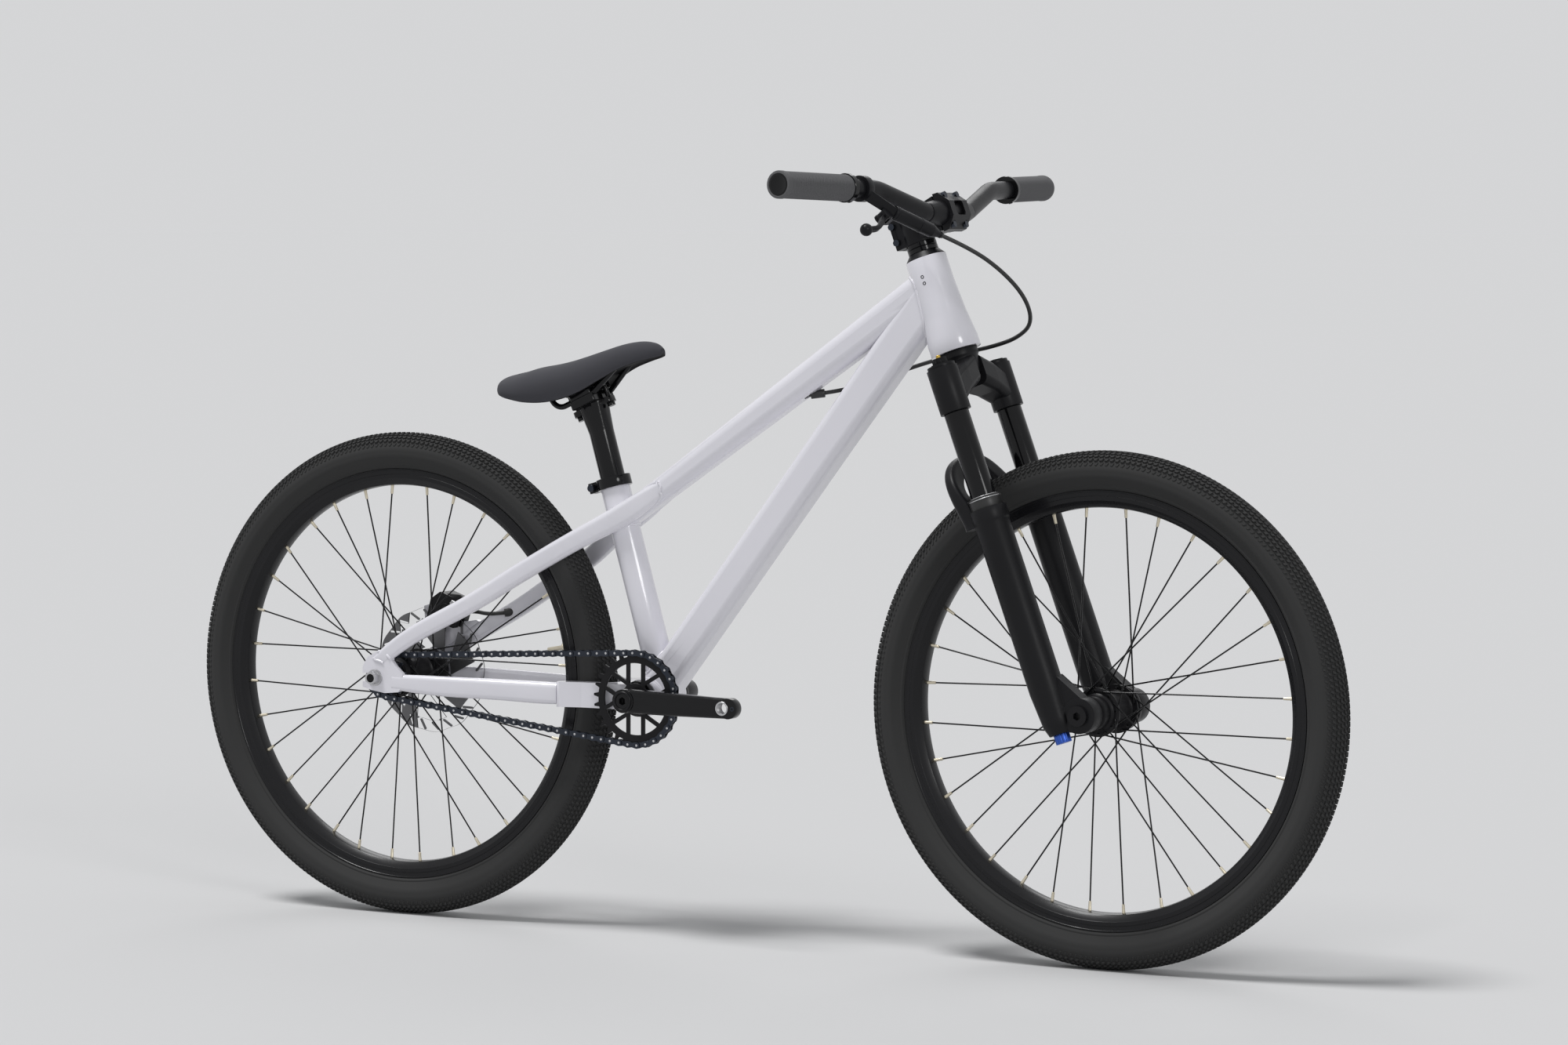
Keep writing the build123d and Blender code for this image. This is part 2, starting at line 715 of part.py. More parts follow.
# Lower legs with the arch behind and the axle lugs in front, one casting
seal_height = 14.0
seal_radius = 19.5
with BuildPart() as fork_lowers:
    for side in (-1, 1):
        leg_origin = in_head(crown_offset, side * leg_spacing, 0)
        with BuildSketch(Plane(origin=leg_origin, x_dir=head.x_dir, z_dir=(0, -1, 0))):
            with BuildLine():
                Polyline(
                    (0, -seal_top - seal_height),
                    (22.5, -seal_top - seal_height),
                    (22.5, -seal_top - 28),
                    (leg_radius, -seal_top - 32),
                    (leg_radius, -420),
                    (leg_radius - 3, -leg_foot + 12),
                    (leg_radius - 7, -leg_foot),
                    (0, -leg_foot),
                    close=True,
                )
            make_face()
        revolve(axis=Axis(leg_origin, head.z_dir))
        # Lug that carries the axle, ahead of the leg
        inner_lug = in_head(0, side * front_half_width, 0)
        with BuildSketch(Plane(origin=inner_lug, x_dir=head.x_dir, z_dir=(0, side, 0))):
            with Locations((axle_ahead, side * axle_down)):
                Circle(21.0)
        extrude(amount=22.0)
        outer_lug = in_head(0, side * (front_half_width + 1), 0)
        lug_face = Plane(origin=outer_lug, x_dir=head.x_dir, z_dir=(0, side, 0))
        with BuildSketch(lug_face):
            with BuildLine():
                Polyline(
                    (crown_offset, side * (axle_down - 60)),
                    (crown_offset + 19, side * (axle_down - 54)),
                    (axle_ahead + 10, side * (axle_down - 18)),
                    (axle_ahead + 6, side * (axle_down + 20)),
                    (crown_offset, side * (axle_down + 10)),
                    close=True,
                )
            make_face()
        extrude(amount=20.0)
        # Feet of the arch, behind each leg
        with BuildSketch(section_at(in_head(-10, side * leg_spacing, 214), head.z_dir, head.x_dir)):
            RectangleRounded(30, 26, 8)
        with BuildSketch(section_at(in_head(-16, side * (leg_spacing - 2), 190), head.z_dir, head.x_dir)):
            RectangleRounded(29, 22, 8)
        shoulder = in_head(-26, side * (leg_spacing - 8), 160)
        with BuildSketch(section_at(shoulder, (0, -side * 0.5, 0.8), head.x_dir)):
            RectangleRounded(29, 18, 7)
        haunch = in_head(-29, side * (leg_spacing - 32), 137)
        with BuildSketch(section_at(haunch, (0, -side, 0.35), head.x_dir)):
            RectangleRounded(24, 15, 6)
        with BuildSketch(section_at(in_head(-30, 0, 132), (0, -side, 0), head.x_dir)):
            RectangleRounded(22, 14, 6)
        loft()
    # Room for the hub between the legs
    with BuildSketch(Plane(origin=in_head(axle_ahead, 0, axle_down), z_dir=(0, 1, 0))):
        Circle(40)
    extrude(amount=front_half_width, both=True, mode=Mode.SUBTRACT)
    with BuildSketch(Plane(origin=in_head(axle_ahead, 0, axle_down), z_dir=(0, 1, 0))):
        Circle(front_axle_radius)
    extrude(amount=120, both=True, mode=Mode.SUBTRACT)
    for side in (-1, 1):
        seal_plane = Plane(origin=in_head(crown_offset, side * leg_spacing, seal_top), z_dir=head.z_dir)
        with BuildSketch(seal_plane):
            Circle(stanchion_radius + slide_gap)
        extrude(amount=-(leg_foot - seal_top - 12), mode=Mode.SUBTRACT)
        with BuildSketch(seal_plane.offset(seal_height)):
            Circle(seal_radius)
        extrude(amount=-2 * seal_height, mode=Mode.SUBTRACT)
fork_lowers.part.label = "fork_lowers"
export_step(fork_lowers.part, "parts/fork_lowers.step")

# Wiper seals on the mouths of the lower legs
with BuildPart() as fork_seals:
    for side in (-1, 1):
        seal_end = in_head(crown_offset, side * leg_spacing, seal_top)
        with BuildSketch(Plane(origin=seal_end, z_dir=head.z_dir)):
            Circle(seal_radius)
            Circle(stanchion_radius + slide_gap, mode=Mode.SUBTRACT)
        extrude(amount=-seal_height)
fork_seals.part.label = "fork_seals"
export_step(fork_seals.part, "parts/fork_seals.step")

# Adjuster knob under the drive side leg, its stem seated in the leg's foot
knob_place = Plane(origin=in_head(crown_offset, -leg_spacing, leg_foot + end_gap), z_dir=head.z_dir)
with BuildPart() as rebound_knob:
    with BuildSketch(knob_place):
        Circle(9.5)
        with PolarLocations(10.2, 10):
            Circle(1.4, mode=Mode.SUBTRACT)
    extrude(amount=-11)
rebound_knob.part.label = "rebound_knob"
export_step(rebound_knob.part, "parts/rebound_knob.step")

# Thru axle clamped in the lugs, with a flat head on the drive side
axle_end = front_half_width + 22.0
with BuildPart() as front_thru_axle:
    with BuildSketch(Plane(origin=(front_axle[0], axle_end + 1.0, axle_height), z_dir=(0, -1, 0))):
        Circle(front_axle_radius)
    extrude(amount=2 * axle_end + 1.0)
    with BuildSketch(Plane(origin=(front_axle[0], -axle_end, axle_height), z_dir=(0, -1, 0))):
        Circle(12.0)
    extrude(amount=4.5)
    with BuildSketch(Plane(origin=(front_axle[0], -axle_end - 4.5, axle_height), z_dir=(0, -1, 0))):
        RegularPolygon(5.0, 6)
    extrude(amount=-6.0, mode=Mode.SUBTRACT)
front_thru_axle.part.label = "front_thru_axle"
export_step(front_thru_axle.part, "parts/front_thru_axle.step")

# Pieces common to both wheels, drawn flat round the origin with the drive side up
with BuildPart() as tyre_form:
    with BuildSketch(Plane.XZ):
        with Locations((tyre_radius - tyre_half_width, 0)):
            Circle(tyre_half_width)
        with Locations(((bead_radius + bead_top) / 2, 0)):
            Rectangle(bead_top - bead_radius, 2 * (rim_half_width - rim_lip - rim_gap))
        with Locations((tyre_radius - tyre_half_width, 0)):
            RegularPolygon(tyre_half_width - tyre_wall, 10, mode=Mode.SUBTRACT)
        with Locations(((bead_radius + tyre_waist) / 2, 0)):
            Rectangle(
                tyre_waist - bead_radius,
                2 * (rim_half_width - rim_lip - rim_gap - tyre_wall),
                mode=Mode.SUBTRACT,
            )
    revolve(axis=Axis.Z)

with BuildPart() as rim_form:
    with BuildSketch(Plane.XZ):
        with BuildLine():
            Polyline(
                (rim_inner_radius, -8),
                (rim_inner_radius + 8, -rim_half_width),
                (rim_outer_radius, -rim_half_width),
                (rim_outer_radius, -rim_half_width + rim_lip),
                (bead_radius - 0.1, -rim_half_width + rim_lip),
                (bead_radius - 4.0, 0),
                (bead_radius - 0.1, rim_half_width - rim_lip),
                (rim_outer_radius, rim_half_width - rim_lip),
                (rim_outer_radius, rim_half_width),
                (rim_inner_radius + 8, rim_half_width),
                (rim_inner_radius, 8),
                close=True,
            )
        make_face()
    revolve(axis=Axis.Z)
    # Drilling for the valve, between two spokes
    valve_turn = radians(180 / spoke_count)
    with BuildSketch(Plane(origin=(0, 0, 0), z_dir=(cos(valve_turn), sin(valve_turn), 0))):
        Circle(valve_radius)
    extrude(amount=rim_outer_radius, mode=Mode.SUBTRACT)


def polar(radius, angle, height):
    """Point at an angle in degrees round the wheel's axis and a height along it."""
    return Vector(radius * cos(radians(angle)), radius * sin(radians(angle)), height)


def spoke_run(index):
    """Hub end and rim end of one spoke: sides alternate, and so does the way it leaves the hub."""
    side = 1 if index % 2 == 0 else -1
    way = 1 if (index // 2) % 2 == 0 else -1
    rim_angle = index * 360.0 / spoke_count
    hub_angle = rim_angle + way * spoke_crossings * 720.0 / spoke_count
    hub_height = side * (flange_y + way * (flange_thickness / 2 + spoke_radius + 0.05))
    hub_end = polar(flange_hole_radius, hub_angle, hub_height)
    rim_end = polar(rim_inner_radius + 2.0, rim_angle, side * nipple_offset)
    return hub_end, rim_end


# One spoke of each kind, leaving forwards or backwards from either flange
spoke_shapes = []
nipple_shapes = []
for index in range(4):
    hub_end, rim_end = spoke_run(index)
    run = rim_end - hub_end
    nipple_end = hub_end + run.normalized() * (run.length - nipple_length - 2.0)
    with BuildPart() as spoke:
        with BuildSketch(Plane(origin=hub_end, z_dir=run)):
            RegularPolygon(spoke_radius, 6)
        extrude(amount=(nipple_end - hub_end).length)
    spoke_shapes.append(spoke.part)
    with BuildPart() as nipple:
        with BuildSketch(Plane(origin=nipple_end, z_dir=run)):
            RegularPolygon(nipple_radius, 6)
        extrude(amount=nipple_length + 2.0)
        with BuildSketch(Plane.XY.offset(-rim_half_width)):
            Circle(rim_outer_radius)
            Circle(rim_inner_radius, mode=Mode.SUBTRACT)
        extrude(amount=2 * rim_half_width, mode=Mode.SUBTRACT)
    nipple_shapes.append(nipple.part)

with BuildPart() as spoke_form:
    with PolarLocations(0, spoke_count // 4):
        add(spoke_shapes)

with BuildPart() as nipple_form:
    with PolarLocations(0, spoke_count // 4):
        add(nipple_shapes)

# Valve stem, straight inwards through the rim
with BuildPart() as valve_form:
    valve_way = polar(1.0, 180.0 / spoke_count, 0)
    with BuildSketch(Plane(origin=valve_way * (bead_radius - 2.0), z_dir=valve_way * -1)):
        Circle(valve_radius - 0.02)
    extrude(amount=valve_length)
    with BuildSketch(Plane(origin=valve_way * (rim_inner_radius - 1.0), z_dir=valve_way * -1)):
        Circle(valve_radius + 2.2)
        Circle(valve_radius - 0.02, mode=Mode.SUBTRACT)
    extrude(amount=3.0)

# Front hub: barrel, two flanges, and a bare disc flange with six holes on the left
bolt_hole_radius = 2.1
with BuildPart() as front_hub_form:
    with BuildSketch(Plane.XZ):
        with BuildLine():
            Polyline(
                (front_axle_radius + bearing_gap, -front_half_width + end_gap),
                (14.5, -front_half_width + end_gap),
                (14.5, -rotor_y + 14.1),
                (disc_flange_radius, -rotor_y + 14.1),
                (disc_flange_radius, -rotor_y + 19.1),
                (20.0, -rotor_y + 21.0),
                (20.0, -flange_y - flange_thickness / 2 - 2.0),
                (flange_foot, -flange_y - flange_thickness / 2),
                (flange_hole_radius, -flange_y - flange_thickness / 2),
                (flange_radius, -flange_y - flange_edge),
                (flange_radius, -flange_y + flange_thickness / 2),
                (flange_foot, -flange_y + flange_thickness / 2),
                (20.0, -flange_y + flange_thickness / 2 + 3.0),
                (hub_barrel_radius, -8),
                (hub_barrel_radius, 8),
                (20.0, flange_y - flange_thickness / 2 - 3.0),
                (flange_foot, flange_y - flange_thickness / 2),
                (flange_radius, flange_y - flange_thickness / 2),
                (flange_radius, flange_y + flange_edge),
                (flange_hole_radius, flange_y + flange_thickness / 2),
                (flange_foot, flange_y + flange_thickness / 2),
                (20.0, flange_y + flange_thickness / 2 + 3.0),
                (20.0, 44),
                (14.5, 46),
                (14.5, front_half_width - end_gap),
                (front_axle_radius + bearing_gap, front_half_width - end_gap),
                close=True,
            )
        make_face()
    revolve(axis=Axis.Z)
    with BuildSketch(Plane.XY.offset(-rotor_y + 14.1)):
        with PolarLocations(rotor_bolt_circle, 6):
            Circle(bolt_hole_radius)
    extrude(amount=5.0, mode=Mode.SUBTRACT)

# Rear hub: shell with two flanges and the disc flange, turning on the axle
bolt_depth = 6.0
with BuildPart() as rear_hub_form:
    with BuildSketch(Plane.XZ):
        with BuildLine():
            Polyline(
                (rear_axle_radius + bearing_gap, -rear_half_width + end_gap),
                (10.5, -rear_half_width + end_gap),
                (10.5, -rotor_y - rotor_thickness / 2 - 5.0),
                (14.0, -rotor_y - rotor_thickness / 2 - 4.0),
                (14.0, -rotor_y + rotor_thickness / 2),
                (disc_flange_radius, -rotor_y + rotor_thickness / 2),
                (disc_flange_radius, -rotor_y + rotor_thickness / 2 + bolt_depth),
                (18.0, -rotor_y + rotor_thickness / 2 + bolt_depth + 3.0),
                (18.0, -flange_y - flange_thickness / 2 - 2.5),
                (flange_foot, -flange_y - flange_thickness / 2),
                (flange_hole_radius, -flange_y - flange_thickness / 2),
                (flange_radius, -flange_y - flange_edge),
                (flange_radius, -flange_y + flange_thickness / 2),
                (flange_foot, -flange_y + flange_thickness / 2),
                (20.0, -flange_y + flange_thickness / 2 + 3.0),
                (hub_barrel_radius, -8),
                (hub_barrel_radius, 8),
                (20.0, flange_y - flange_thickness / 2 - 3.0),
                (flange_foot, flange_y - flange_thickness / 2),
                (flange_radius, flange_y - flange_thickness / 2),
                (flange_radius, flange_y + flange_edge),
                (flange_hole_radius, flange_y + flange_thickness / 2),
                (flange_foot, flange_y + flange_thickness / 2),
                (18.0, flange_y + flange_thickness / 2 + 2.5),
                (18.0, driver_start - end_gap),
                (rear_axle_radius + bearing_gap, driver_start - end_gap),
                close=True,
            )
        make_face()
    revolve(axis=Axis.Z)
    with BuildSketch(Plane.XY.offset(-rotor_y + rotor_thickness / 2)):
        with PolarLocations(rotor_bolt_circle, 6):
            Circle(bolt_hole_radius)
    extrude(amount=bolt_depth, mode=Mode.SUBTRACT)

# Disc: a slotted band on six slanting arms, with its bolts
rotor_face = Plane.XY.offset(-rotor_y - rotor_thickness / 2)
with BuildPart() as rotor_form:
    with BuildSketch(rotor_face):
        Circle(rotor_radius)
        Circle(rotor_radius - rotor_band, mode=Mode.SUBTRACT)
        Circle(disc_flange_radius)
        with BuildSketch(mode=Mode.PRIVATE) as arm:
            with BuildLine():
                Polyline((22, -4), (24, 5), (rotor_radius - 8, 24), (rotor_radius - 9, 17), close=True)
            make_face()
        with PolarLocations(0, 6):
            add(arm.sketch)
        Circle(14.0, mode=Mode.SUBTRACT)
        with PolarLocations(rotor_bolt_circle, 6):
            Circle(bolt_hole_radius + 0.1, mode=Mode.SUBTRACT)
        with PolarLocations(rotor_radius - rotor_band / 2, 18):
            Rectangle(8.5, 2.6, rotation=38, mode=Mode.SUBTRACT)
    extrude(amount=rotor_thickness)

with BuildPart() as rotor_bolt_form:
    with BuildSketch(rotor_face):
        with PolarLocations(rotor_bolt_circle, 6):
            Circle(bolt_hole_radius - 0.02)
    extrude(amount=rotor_thickness + bolt_depth - 0.5)
    with BuildSketch(rotor_face):
        with PolarLocations(rotor_bolt_circle, 6):
            RegularPolygon(3.8, 8)
    extrude(amount=-2.2)

front_place = wheel_place(front_axle, front_phase)
rear_place = wheel_place(rear_axle, rear_phase)
# The rims are turned against their spokes: one valve stands behind the fork leg, one behind the chain.
front_valve_place = wheel_place(front_axle, front_phase + front_valve_turn)
rear_valve_place = wheel_place(rear_axle, rear_phase + rear_valve_turn)

with BuildPart() as front_tyre:
    with Locations(front_place):
        add(tyre_form.part)
front_tyre.part.label = "front_tyre"
export_step(front_tyre.part, "parts/front_tyre.step")

with BuildPart() as front_rim:
    with Locations(front_valve_place):
        add(rim_form.part)
front_rim.part.label = "front_rim"
export_step(front_rim.part, "parts/front_rim.step")

with BuildPart() as front_spokes:
    with Locations(front_place):
        add(spoke_form.part)
front_spokes.part.label = "front_spokes"
export_step(front_spokes.part, "parts/front_spokes.step")

with BuildPart() as front_nipples:
    with Locations(front_place):
        add(nipple_form.part)
front_nipples.part.label = "front_nipples"
export_step(front_nipples.part, "parts/front_nipples.step")

with BuildPart() as front_valve:
    with Locations(front_valve_place):
        add(valve_form.part)
front_valve.part.label = "front_valve"
export_step(front_valve.part, "parts/front_valve.step")

with BuildPart() as front_hub:
    with Locations(front_place):
        add(front_hub_form.part)
front_hub.part.label = "front_hub"
export_step(front_hub.part, "parts/front_hub.step")

with BuildPart() as rear_tyre:
    with Locations(rear_place):
        add(tyre_form.part)
rear_tyre.part.label = "rear_tyre"
export_step(rear_tyre.part, "parts/rear_tyre.step")

with BuildPart() as rear_rim:
    with Locations(rear_valve_place):
        add(rim_form.part)
rear_rim.part.label = "rear_rim"
export_step(rear_rim.part, "parts/rear_rim.step")

with BuildPart() as rear_spokes:
    with Locations(rear_place):
        add(spoke_form.part)
rear_spokes.part.label = "rear_spokes"
export_step(rear_spokes.part, "parts/rear_spokes.step")

with BuildPart() as rear_nipples:
    with Locations(rear_place):
        add(nipple_form.part)
rear_nipples.part.label = "rear_nipples"
export_step(rear_nipples.part, "parts/rear_nipples.step")

with BuildPart() as rear_valve:
    with Locations(rear_valve_place):
        add(valve_form.part)
rear_valve.part.label = "rear_valve"
export_step(rear_valve.part, "parts/rear_valve.step")

with BuildPart() as rear_hub:
    with Locations(rear_place):
        add(rear_hub_form.part)
rear_hub.part.label = "rear_hub"
export_step(rear_hub.part, "parts/rear_hub.step")

with BuildPart() as brake_rotor:
    with Locations(rear_place):
        add(rotor_form.part)
brake_rotor.part.label = "brake_rotor"
export_step(brake_rotor.part, "parts/brake_rotor.step")

with BuildPart() as rotor_bolts:
    with Locations(rear_place):
        add(rotor_bolt_form.part)
rotor_bolts.part.label = "rotor_bolts"
export_step(rotor_bolts.part, "parts/rotor_bolts.step")


def chain_angles():
    """Angles, in radians, of the upper and lower contact points of the chain on both sprockets."""
    rise = atan2(bottom_bracket[2] - rear_axle[2], bottom_bracket[0] - rear_axle[0])
    lean = asin((ring_radius - cog_radius) / chain_reach)
    return rise + pi / 2 + lean, rise - pi / 2 - lean


upper_contact, lower_contact = chain_angles()
ring_wrap = (upper_contact - lower_contact) * ring_teeth / (2 * pi)
cog_wrap = (2 * pi - upper_contact + lower_contact) * cog_teeth / (2 * pi)
free_run = (chain_links - ring_wrap - cog_wrap) / 2


def on_circle(centre, radius, angle):
    """Point of the chain plane at an angle round a sprocket."""
    return Vector(centre[0] + radius * cos(angle), -chain_line, centre[2] + radius * sin(angle))


def pin_place(index):
    """Centre of a chain pin, counted from the upper contact of the chainring, forwards and down."""
    upper_ring = on_circle(bottom_bracket, ring_radius, upper_contact)
    lower_ring = on_circle(bottom_bracket, ring_radius, lower_contact)
    lower_cog = on_circle(rear_axle, cog_radius, lower_contact)
    upper_cog = on_circle(rear_axle, cog_radius, upper_contact)
    if index <= ring_wrap:
        return on_circle(bottom_bracket, ring_radius, upper_contact - index * 2 * pi / ring_teeth)
    beyond = index - ring_wrap
    if beyond <= free_run:
        return lower_ring + (lower_cog - lower_ring) * (beyond / free_run)
    beyond -= free_run
    if beyond <= cog_wrap:
        return on_circle(rear_axle, cog_radius, lower_contact - beyond * 2 * pi / cog_teeth)
    beyond -= cog_wrap
    return upper_cog + (upper_ring - upper_cog) * (beyond / free_run)


ring_phase = degrees(upper_contact)
first_on_cog = int(ring_wrap + free_run) + 1
cog_phase = degrees(lower_contact) - (first_on_cog - ring_wrap - free_run) * 360 / cog_teeth


def tooth_points(teeth, pitch_radius, phase):
    """Outline of a sprocket: a gap round each roller and a tooth between, phase in degrees."""
    points = []
    for tooth in range(teeth):
        gap_angle = phase + tooth * 360 / teeth
        tip_angle = gap_angle + 180 / teeth
        root_swing = degrees(3.2 / pitch_radius)
        tip_swing = degrees(1.3 / pitch_radius)
        for radius, angle in (
            (pitch_radius - 4.0, gap_angle - root_swing),
            (pitch_radius - 4.0, gap_angle + root_swing),
            (pitch_radius + 2.6, tip_angle - tip_swing),
            (pitch_radius + 2.6, tip_angle + tip_swing),
        ):
            points.append((radius * cos(radians(angle)), radius * sin(radians(angle))))
    return points


def drive_plane(centre, y):
    """Plane of the chain at a sprocket's centre, seen from the drive side."""
    return Plane(origin=(centre[0], y, centre[2]), x_dir=(1, 0, 0), z_dir=(0, -1, 0))


# Chainring: toothed rim on three pairs of parallel bars that pass the hub
bar_offset = 10.5
bar_width = 4.8
with BuildPart() as chainring:
    with BuildSketch(drive_plane(bottom_bracket, -chain_line + ring_thickness / 2)):
        with BuildLine():
            Polyline(*tooth_points(ring_teeth, ring_radius, ring_phase), close=True)
        make_face()
        Circle(ring_radius - 12.5, mode=Mode.SUBTRACT)
        Circle(19.5)
        with BuildSketch(mode=Mode.PRIVATE) as ring_bars:
            for angle in (30, 90, 150):
                for way in (-1, 1):
                    off = Vector(-sin(radians(angle)), cos(radians(angle))) * (way * bar_offset)
                    with Locations((off.X, off.Y)):
                        Rectangle(2 * ring_radius - 20.0, bar_width, rotation=angle)
        add(ring_bars.sketch)
        Circle(spindle_radius, mode=Mode.SUBTRACT)
    extrude(amount=ring_thickness)
chainring.part.label = "chainring"
export_step(chainring.part, "parts/chainring.step")

# Driver with its cog, turning on the rear axle beside the hub shell
with BuildPart() as driver_cog:
    with BuildSketch(drive_plane(rear_axle, -driver_start)):
        Circle(driver_radius)
    extrude(amount=chain_line - ring_thickness / 2 - driver_start)
    with BuildSketch(drive_plane(rear_axle, -chain_line + ring_thickness / 2)):
        with BuildLine():
            Polyline(*tooth_points(cog_teeth, cog_radius, cog_phase), close=True)
        make_face()
    extrude(amount=ring_thickness)
    with BuildSketch(drive_plane(rear_axle, -chain_line - ring_thickness / 2)):
        Circle(driver_radius - 1.0)
    extrude(amount=6.0)
    with BuildSketch(drive_plane(rear_axle, -chain_line - ring_thickness / 2 - 6.0)):
        Circle(10.5)
    extrude(amount=rear_half_width - chain_line - ring_thickness / 2 - 6.0 - end_gap)
    with BuildSketch(drive_plane(rear_axle, 0)):
        Circle(rear_axle_radius + bearing_gap)
    extrude(amount=rear_half_width, mode=Mode.SUBTRACT)
driver_cog.part.label = "driver_cog"
export_step(driver_cog.part, "parts/driver_cog.step")

# Roller chain: an inner link of two plates on two rollers, and an outer pair of plates
plate_half_gap = 1.75
plate_thickness = 1.0
plate_height = 3.9
roller_radius = 3.7


def plate_points():
    """Outline of a link plate, a stretched hexagon round its two pins."""
    return [
        (-plate_height, 0),
        (-1.6, plate_height),
        (chain_pitch + 1.6, plate_height),
        (chain_pitch + plate_height, 0),
        (chain_pitch + 1.6, -plate_height),
        (-1.6, -plate_height),
    ]


with BuildPart() as inner_link:
    with BuildSketch(Plane.XY.offset(-plate_half_gap)):
        with Locations((0, 0), (chain_pitch, 0)):
            RegularPolygon(roller_radius, 6)
    extrude(amount=2 * plate_half_gap)
    for height in (-plate_half_gap - plate_thickness, plate_half_gap):
        with BuildSketch(Plane.XY.offset(height)):
            with BuildLine():
                Polyline(*plate_points(), close=True)
            make_face()
        extrude(amount=plate_thickness)

with BuildPart() as outer_link:
    for height in (
        -plate_half_gap - 2 * plate_thickness - 0.02,
        plate_half_gap + plate_thickness + 0.02,
    ):
        with BuildSketch(Plane.XY.offset(height)):
            with BuildLine():
                Polyline(*plate_points(), close=True)
            make_face()
        extrude(amount=plate_thickness)


def link_place(index):
    """Place of the link that runs from one pin to the next."""
    start = pin_place(index)
    finish = pin_place((index + 1) % chain_links)
    return Plane(origin=start, x_dir=finish - start, z_dir=(0, -1, 0)).location


with BuildPart() as chain:
    with Locations(*[link_place(index) for index in range(0, chain_links, 2)]):
        add(outer_link.part)
    with Locations(*[link_place(index) for index in range(1, chain_links, 2)]):
        add(inner_link.part)
chain.part.label = "chain"
export_step(chain.part, "parts/chain.step")

# Crank arms on the spindle: the drive side one points forwards, the other back
boss_radius = 14.5
arm_end_reach = 8.0
arm_end_width = 12.7
arm_end_drop = 1.6
spindle_inset = 8.0
drive_boss_start = chain_line + ring_thickness / 2
brake_boss_start = shell_half_width + cup_flange + 1.6


def crank_arm(side, way, boss_start):
    """One arm: side -1 is the drive side, way 1 points it forwards."""
    arm_end_middle = crank_face - arm_end_width / 2
    centre_x, _, centre_z = bottom_bracket
    with BuildPart() as arm:
        with BuildSketch(Plane(origin=(centre_x, side * boss_start, centre_z), z_dir=(0, side, 0))):
            Circle(boss_radius)
        extrude(amount=crank_face - 6.0 - boss_start)
        for reach, y, drop, wide, tall in (
            (0, 68.0, 0.0, 20.0, 29.5),
            (crank_length * 0.45, 74.5, 1.0, 16.0, 28.0),
            (crank_length - 12.0, arm_end_middle, arm_end_drop, arm_end_width, 25.2),
            (crank_length + arm_end_reach, arm_end_middle, arm_end_drop, arm_end_width, 25.0),
        ):
            cross = Plane(
                origin=(centre_x + way * reach, side * y, centre_z - drop),
                x_dir=(0, 1, 0),
                z_dir=(way, 0, 0),
            )
            with BuildSketch(cross):
                RectangleRounded(wide, tall, 4.5)
        loft(ruled=True)
        # The end is rounded off round the pedal hole.
        tip = (
            centre_x + way * (crank_length + arm_end_reach),
            side * (crank_face - arm_end_width),
            centre_z - arm_end_drop,
        )
        with BuildSketch(Plane(origin=tip, z_dir=(0, side, 0))):
            Circle(12.5)
        extrude(amount=arm_end_width)
        hole = (centre_x + way * crank_length, side * 50, centre_z - arm_end_drop)
        with BuildSketch(Plane(origin=hole, z_dir=(0, side, 0))):
            Circle(pedal_hole_radius)
        extrude(amount=50, mode=Mode.SUBTRACT)
        with BuildSketch(Plane(origin=(centre_x, 0, centre_z), z_dir=(0, 1, 0))):
            Circle(spindle_radius)
        extrude(amount=120, both=True, mode=Mode.SUBTRACT)
    return arm.part


with BuildPart() as crank_arms:
    add(crank_arm(-1, 1, drive_boss_start))
    add(crank_arm(1, -1, brake_boss_start))
crank_arms.part.label = "crank_arms"
export_step(crank_arms.part, "parts/crank_arms.step")

# Spindle through the bearings, with a spacer and a socket bolt head at each end
with BuildPart() as crank_spindle:
    spindle_end = (bottom_bracket[0], crank_face - spindle_inset, bottom_bracket[2])
    with BuildSketch(Plane(origin=spindle_end, z_dir=(0, -1, 0))):
        Circle(spindle_radius)
    extrude(amount=2 * (crank_face - spindle_inset))
    with BuildSketch(drive_plane(bottom_bracket, -shell_half_width - cup_flange - 0.1)):
        Circle(16.0)
    extrude(amount=chain_line - ring_thickness / 2 - shell_half_width - cup_flange - 0.1)
    for side in (-1, 1):
        end_place = (bottom_bracket[0], side * (crank_face - spindle_inset), bottom_bracket[2])
        end_face = Plane(origin=end_place, z_dir=(0, side, 0))
        with BuildSketch(end_face):
            Circle(9.5)
        extrude(amount=2.6)
        with BuildSketch(end_face.offset(2.6)):
            RegularPolygon(5.0, 6)
        extrude(amount=-7.0, mode=Mode.SUBTRACT)
crank_spindle.part.label = "crank_spindle"
export_step(crank_spindle.part, "parts/crank_spindle.step")

# Disc caliper over the rotor, on a bracket that stands on the brake side seatstay
caliper_angle = 70.4
caliper_out = Vector(cos(radians(caliper_angle)), 0, sin(radians(caliper_angle)))
caliper_along = Vector(sin(radians(caliper_angle)), 0, -cos(radians(caliper_angle)))
caliper_foot = 66.0
caliper_top = 103.0
caliper_left = 71.0
caliper_right = 41.0
pad_slot = 9.0
pad_inset = 0.35


def by_caliper(along, out, y):
    """Point beside the rotor: along its rim, out from the axle, and across."""
    return Vector(rear_axle) + caliper_along * along + caliper_out * out + Vector(0, y, 0)


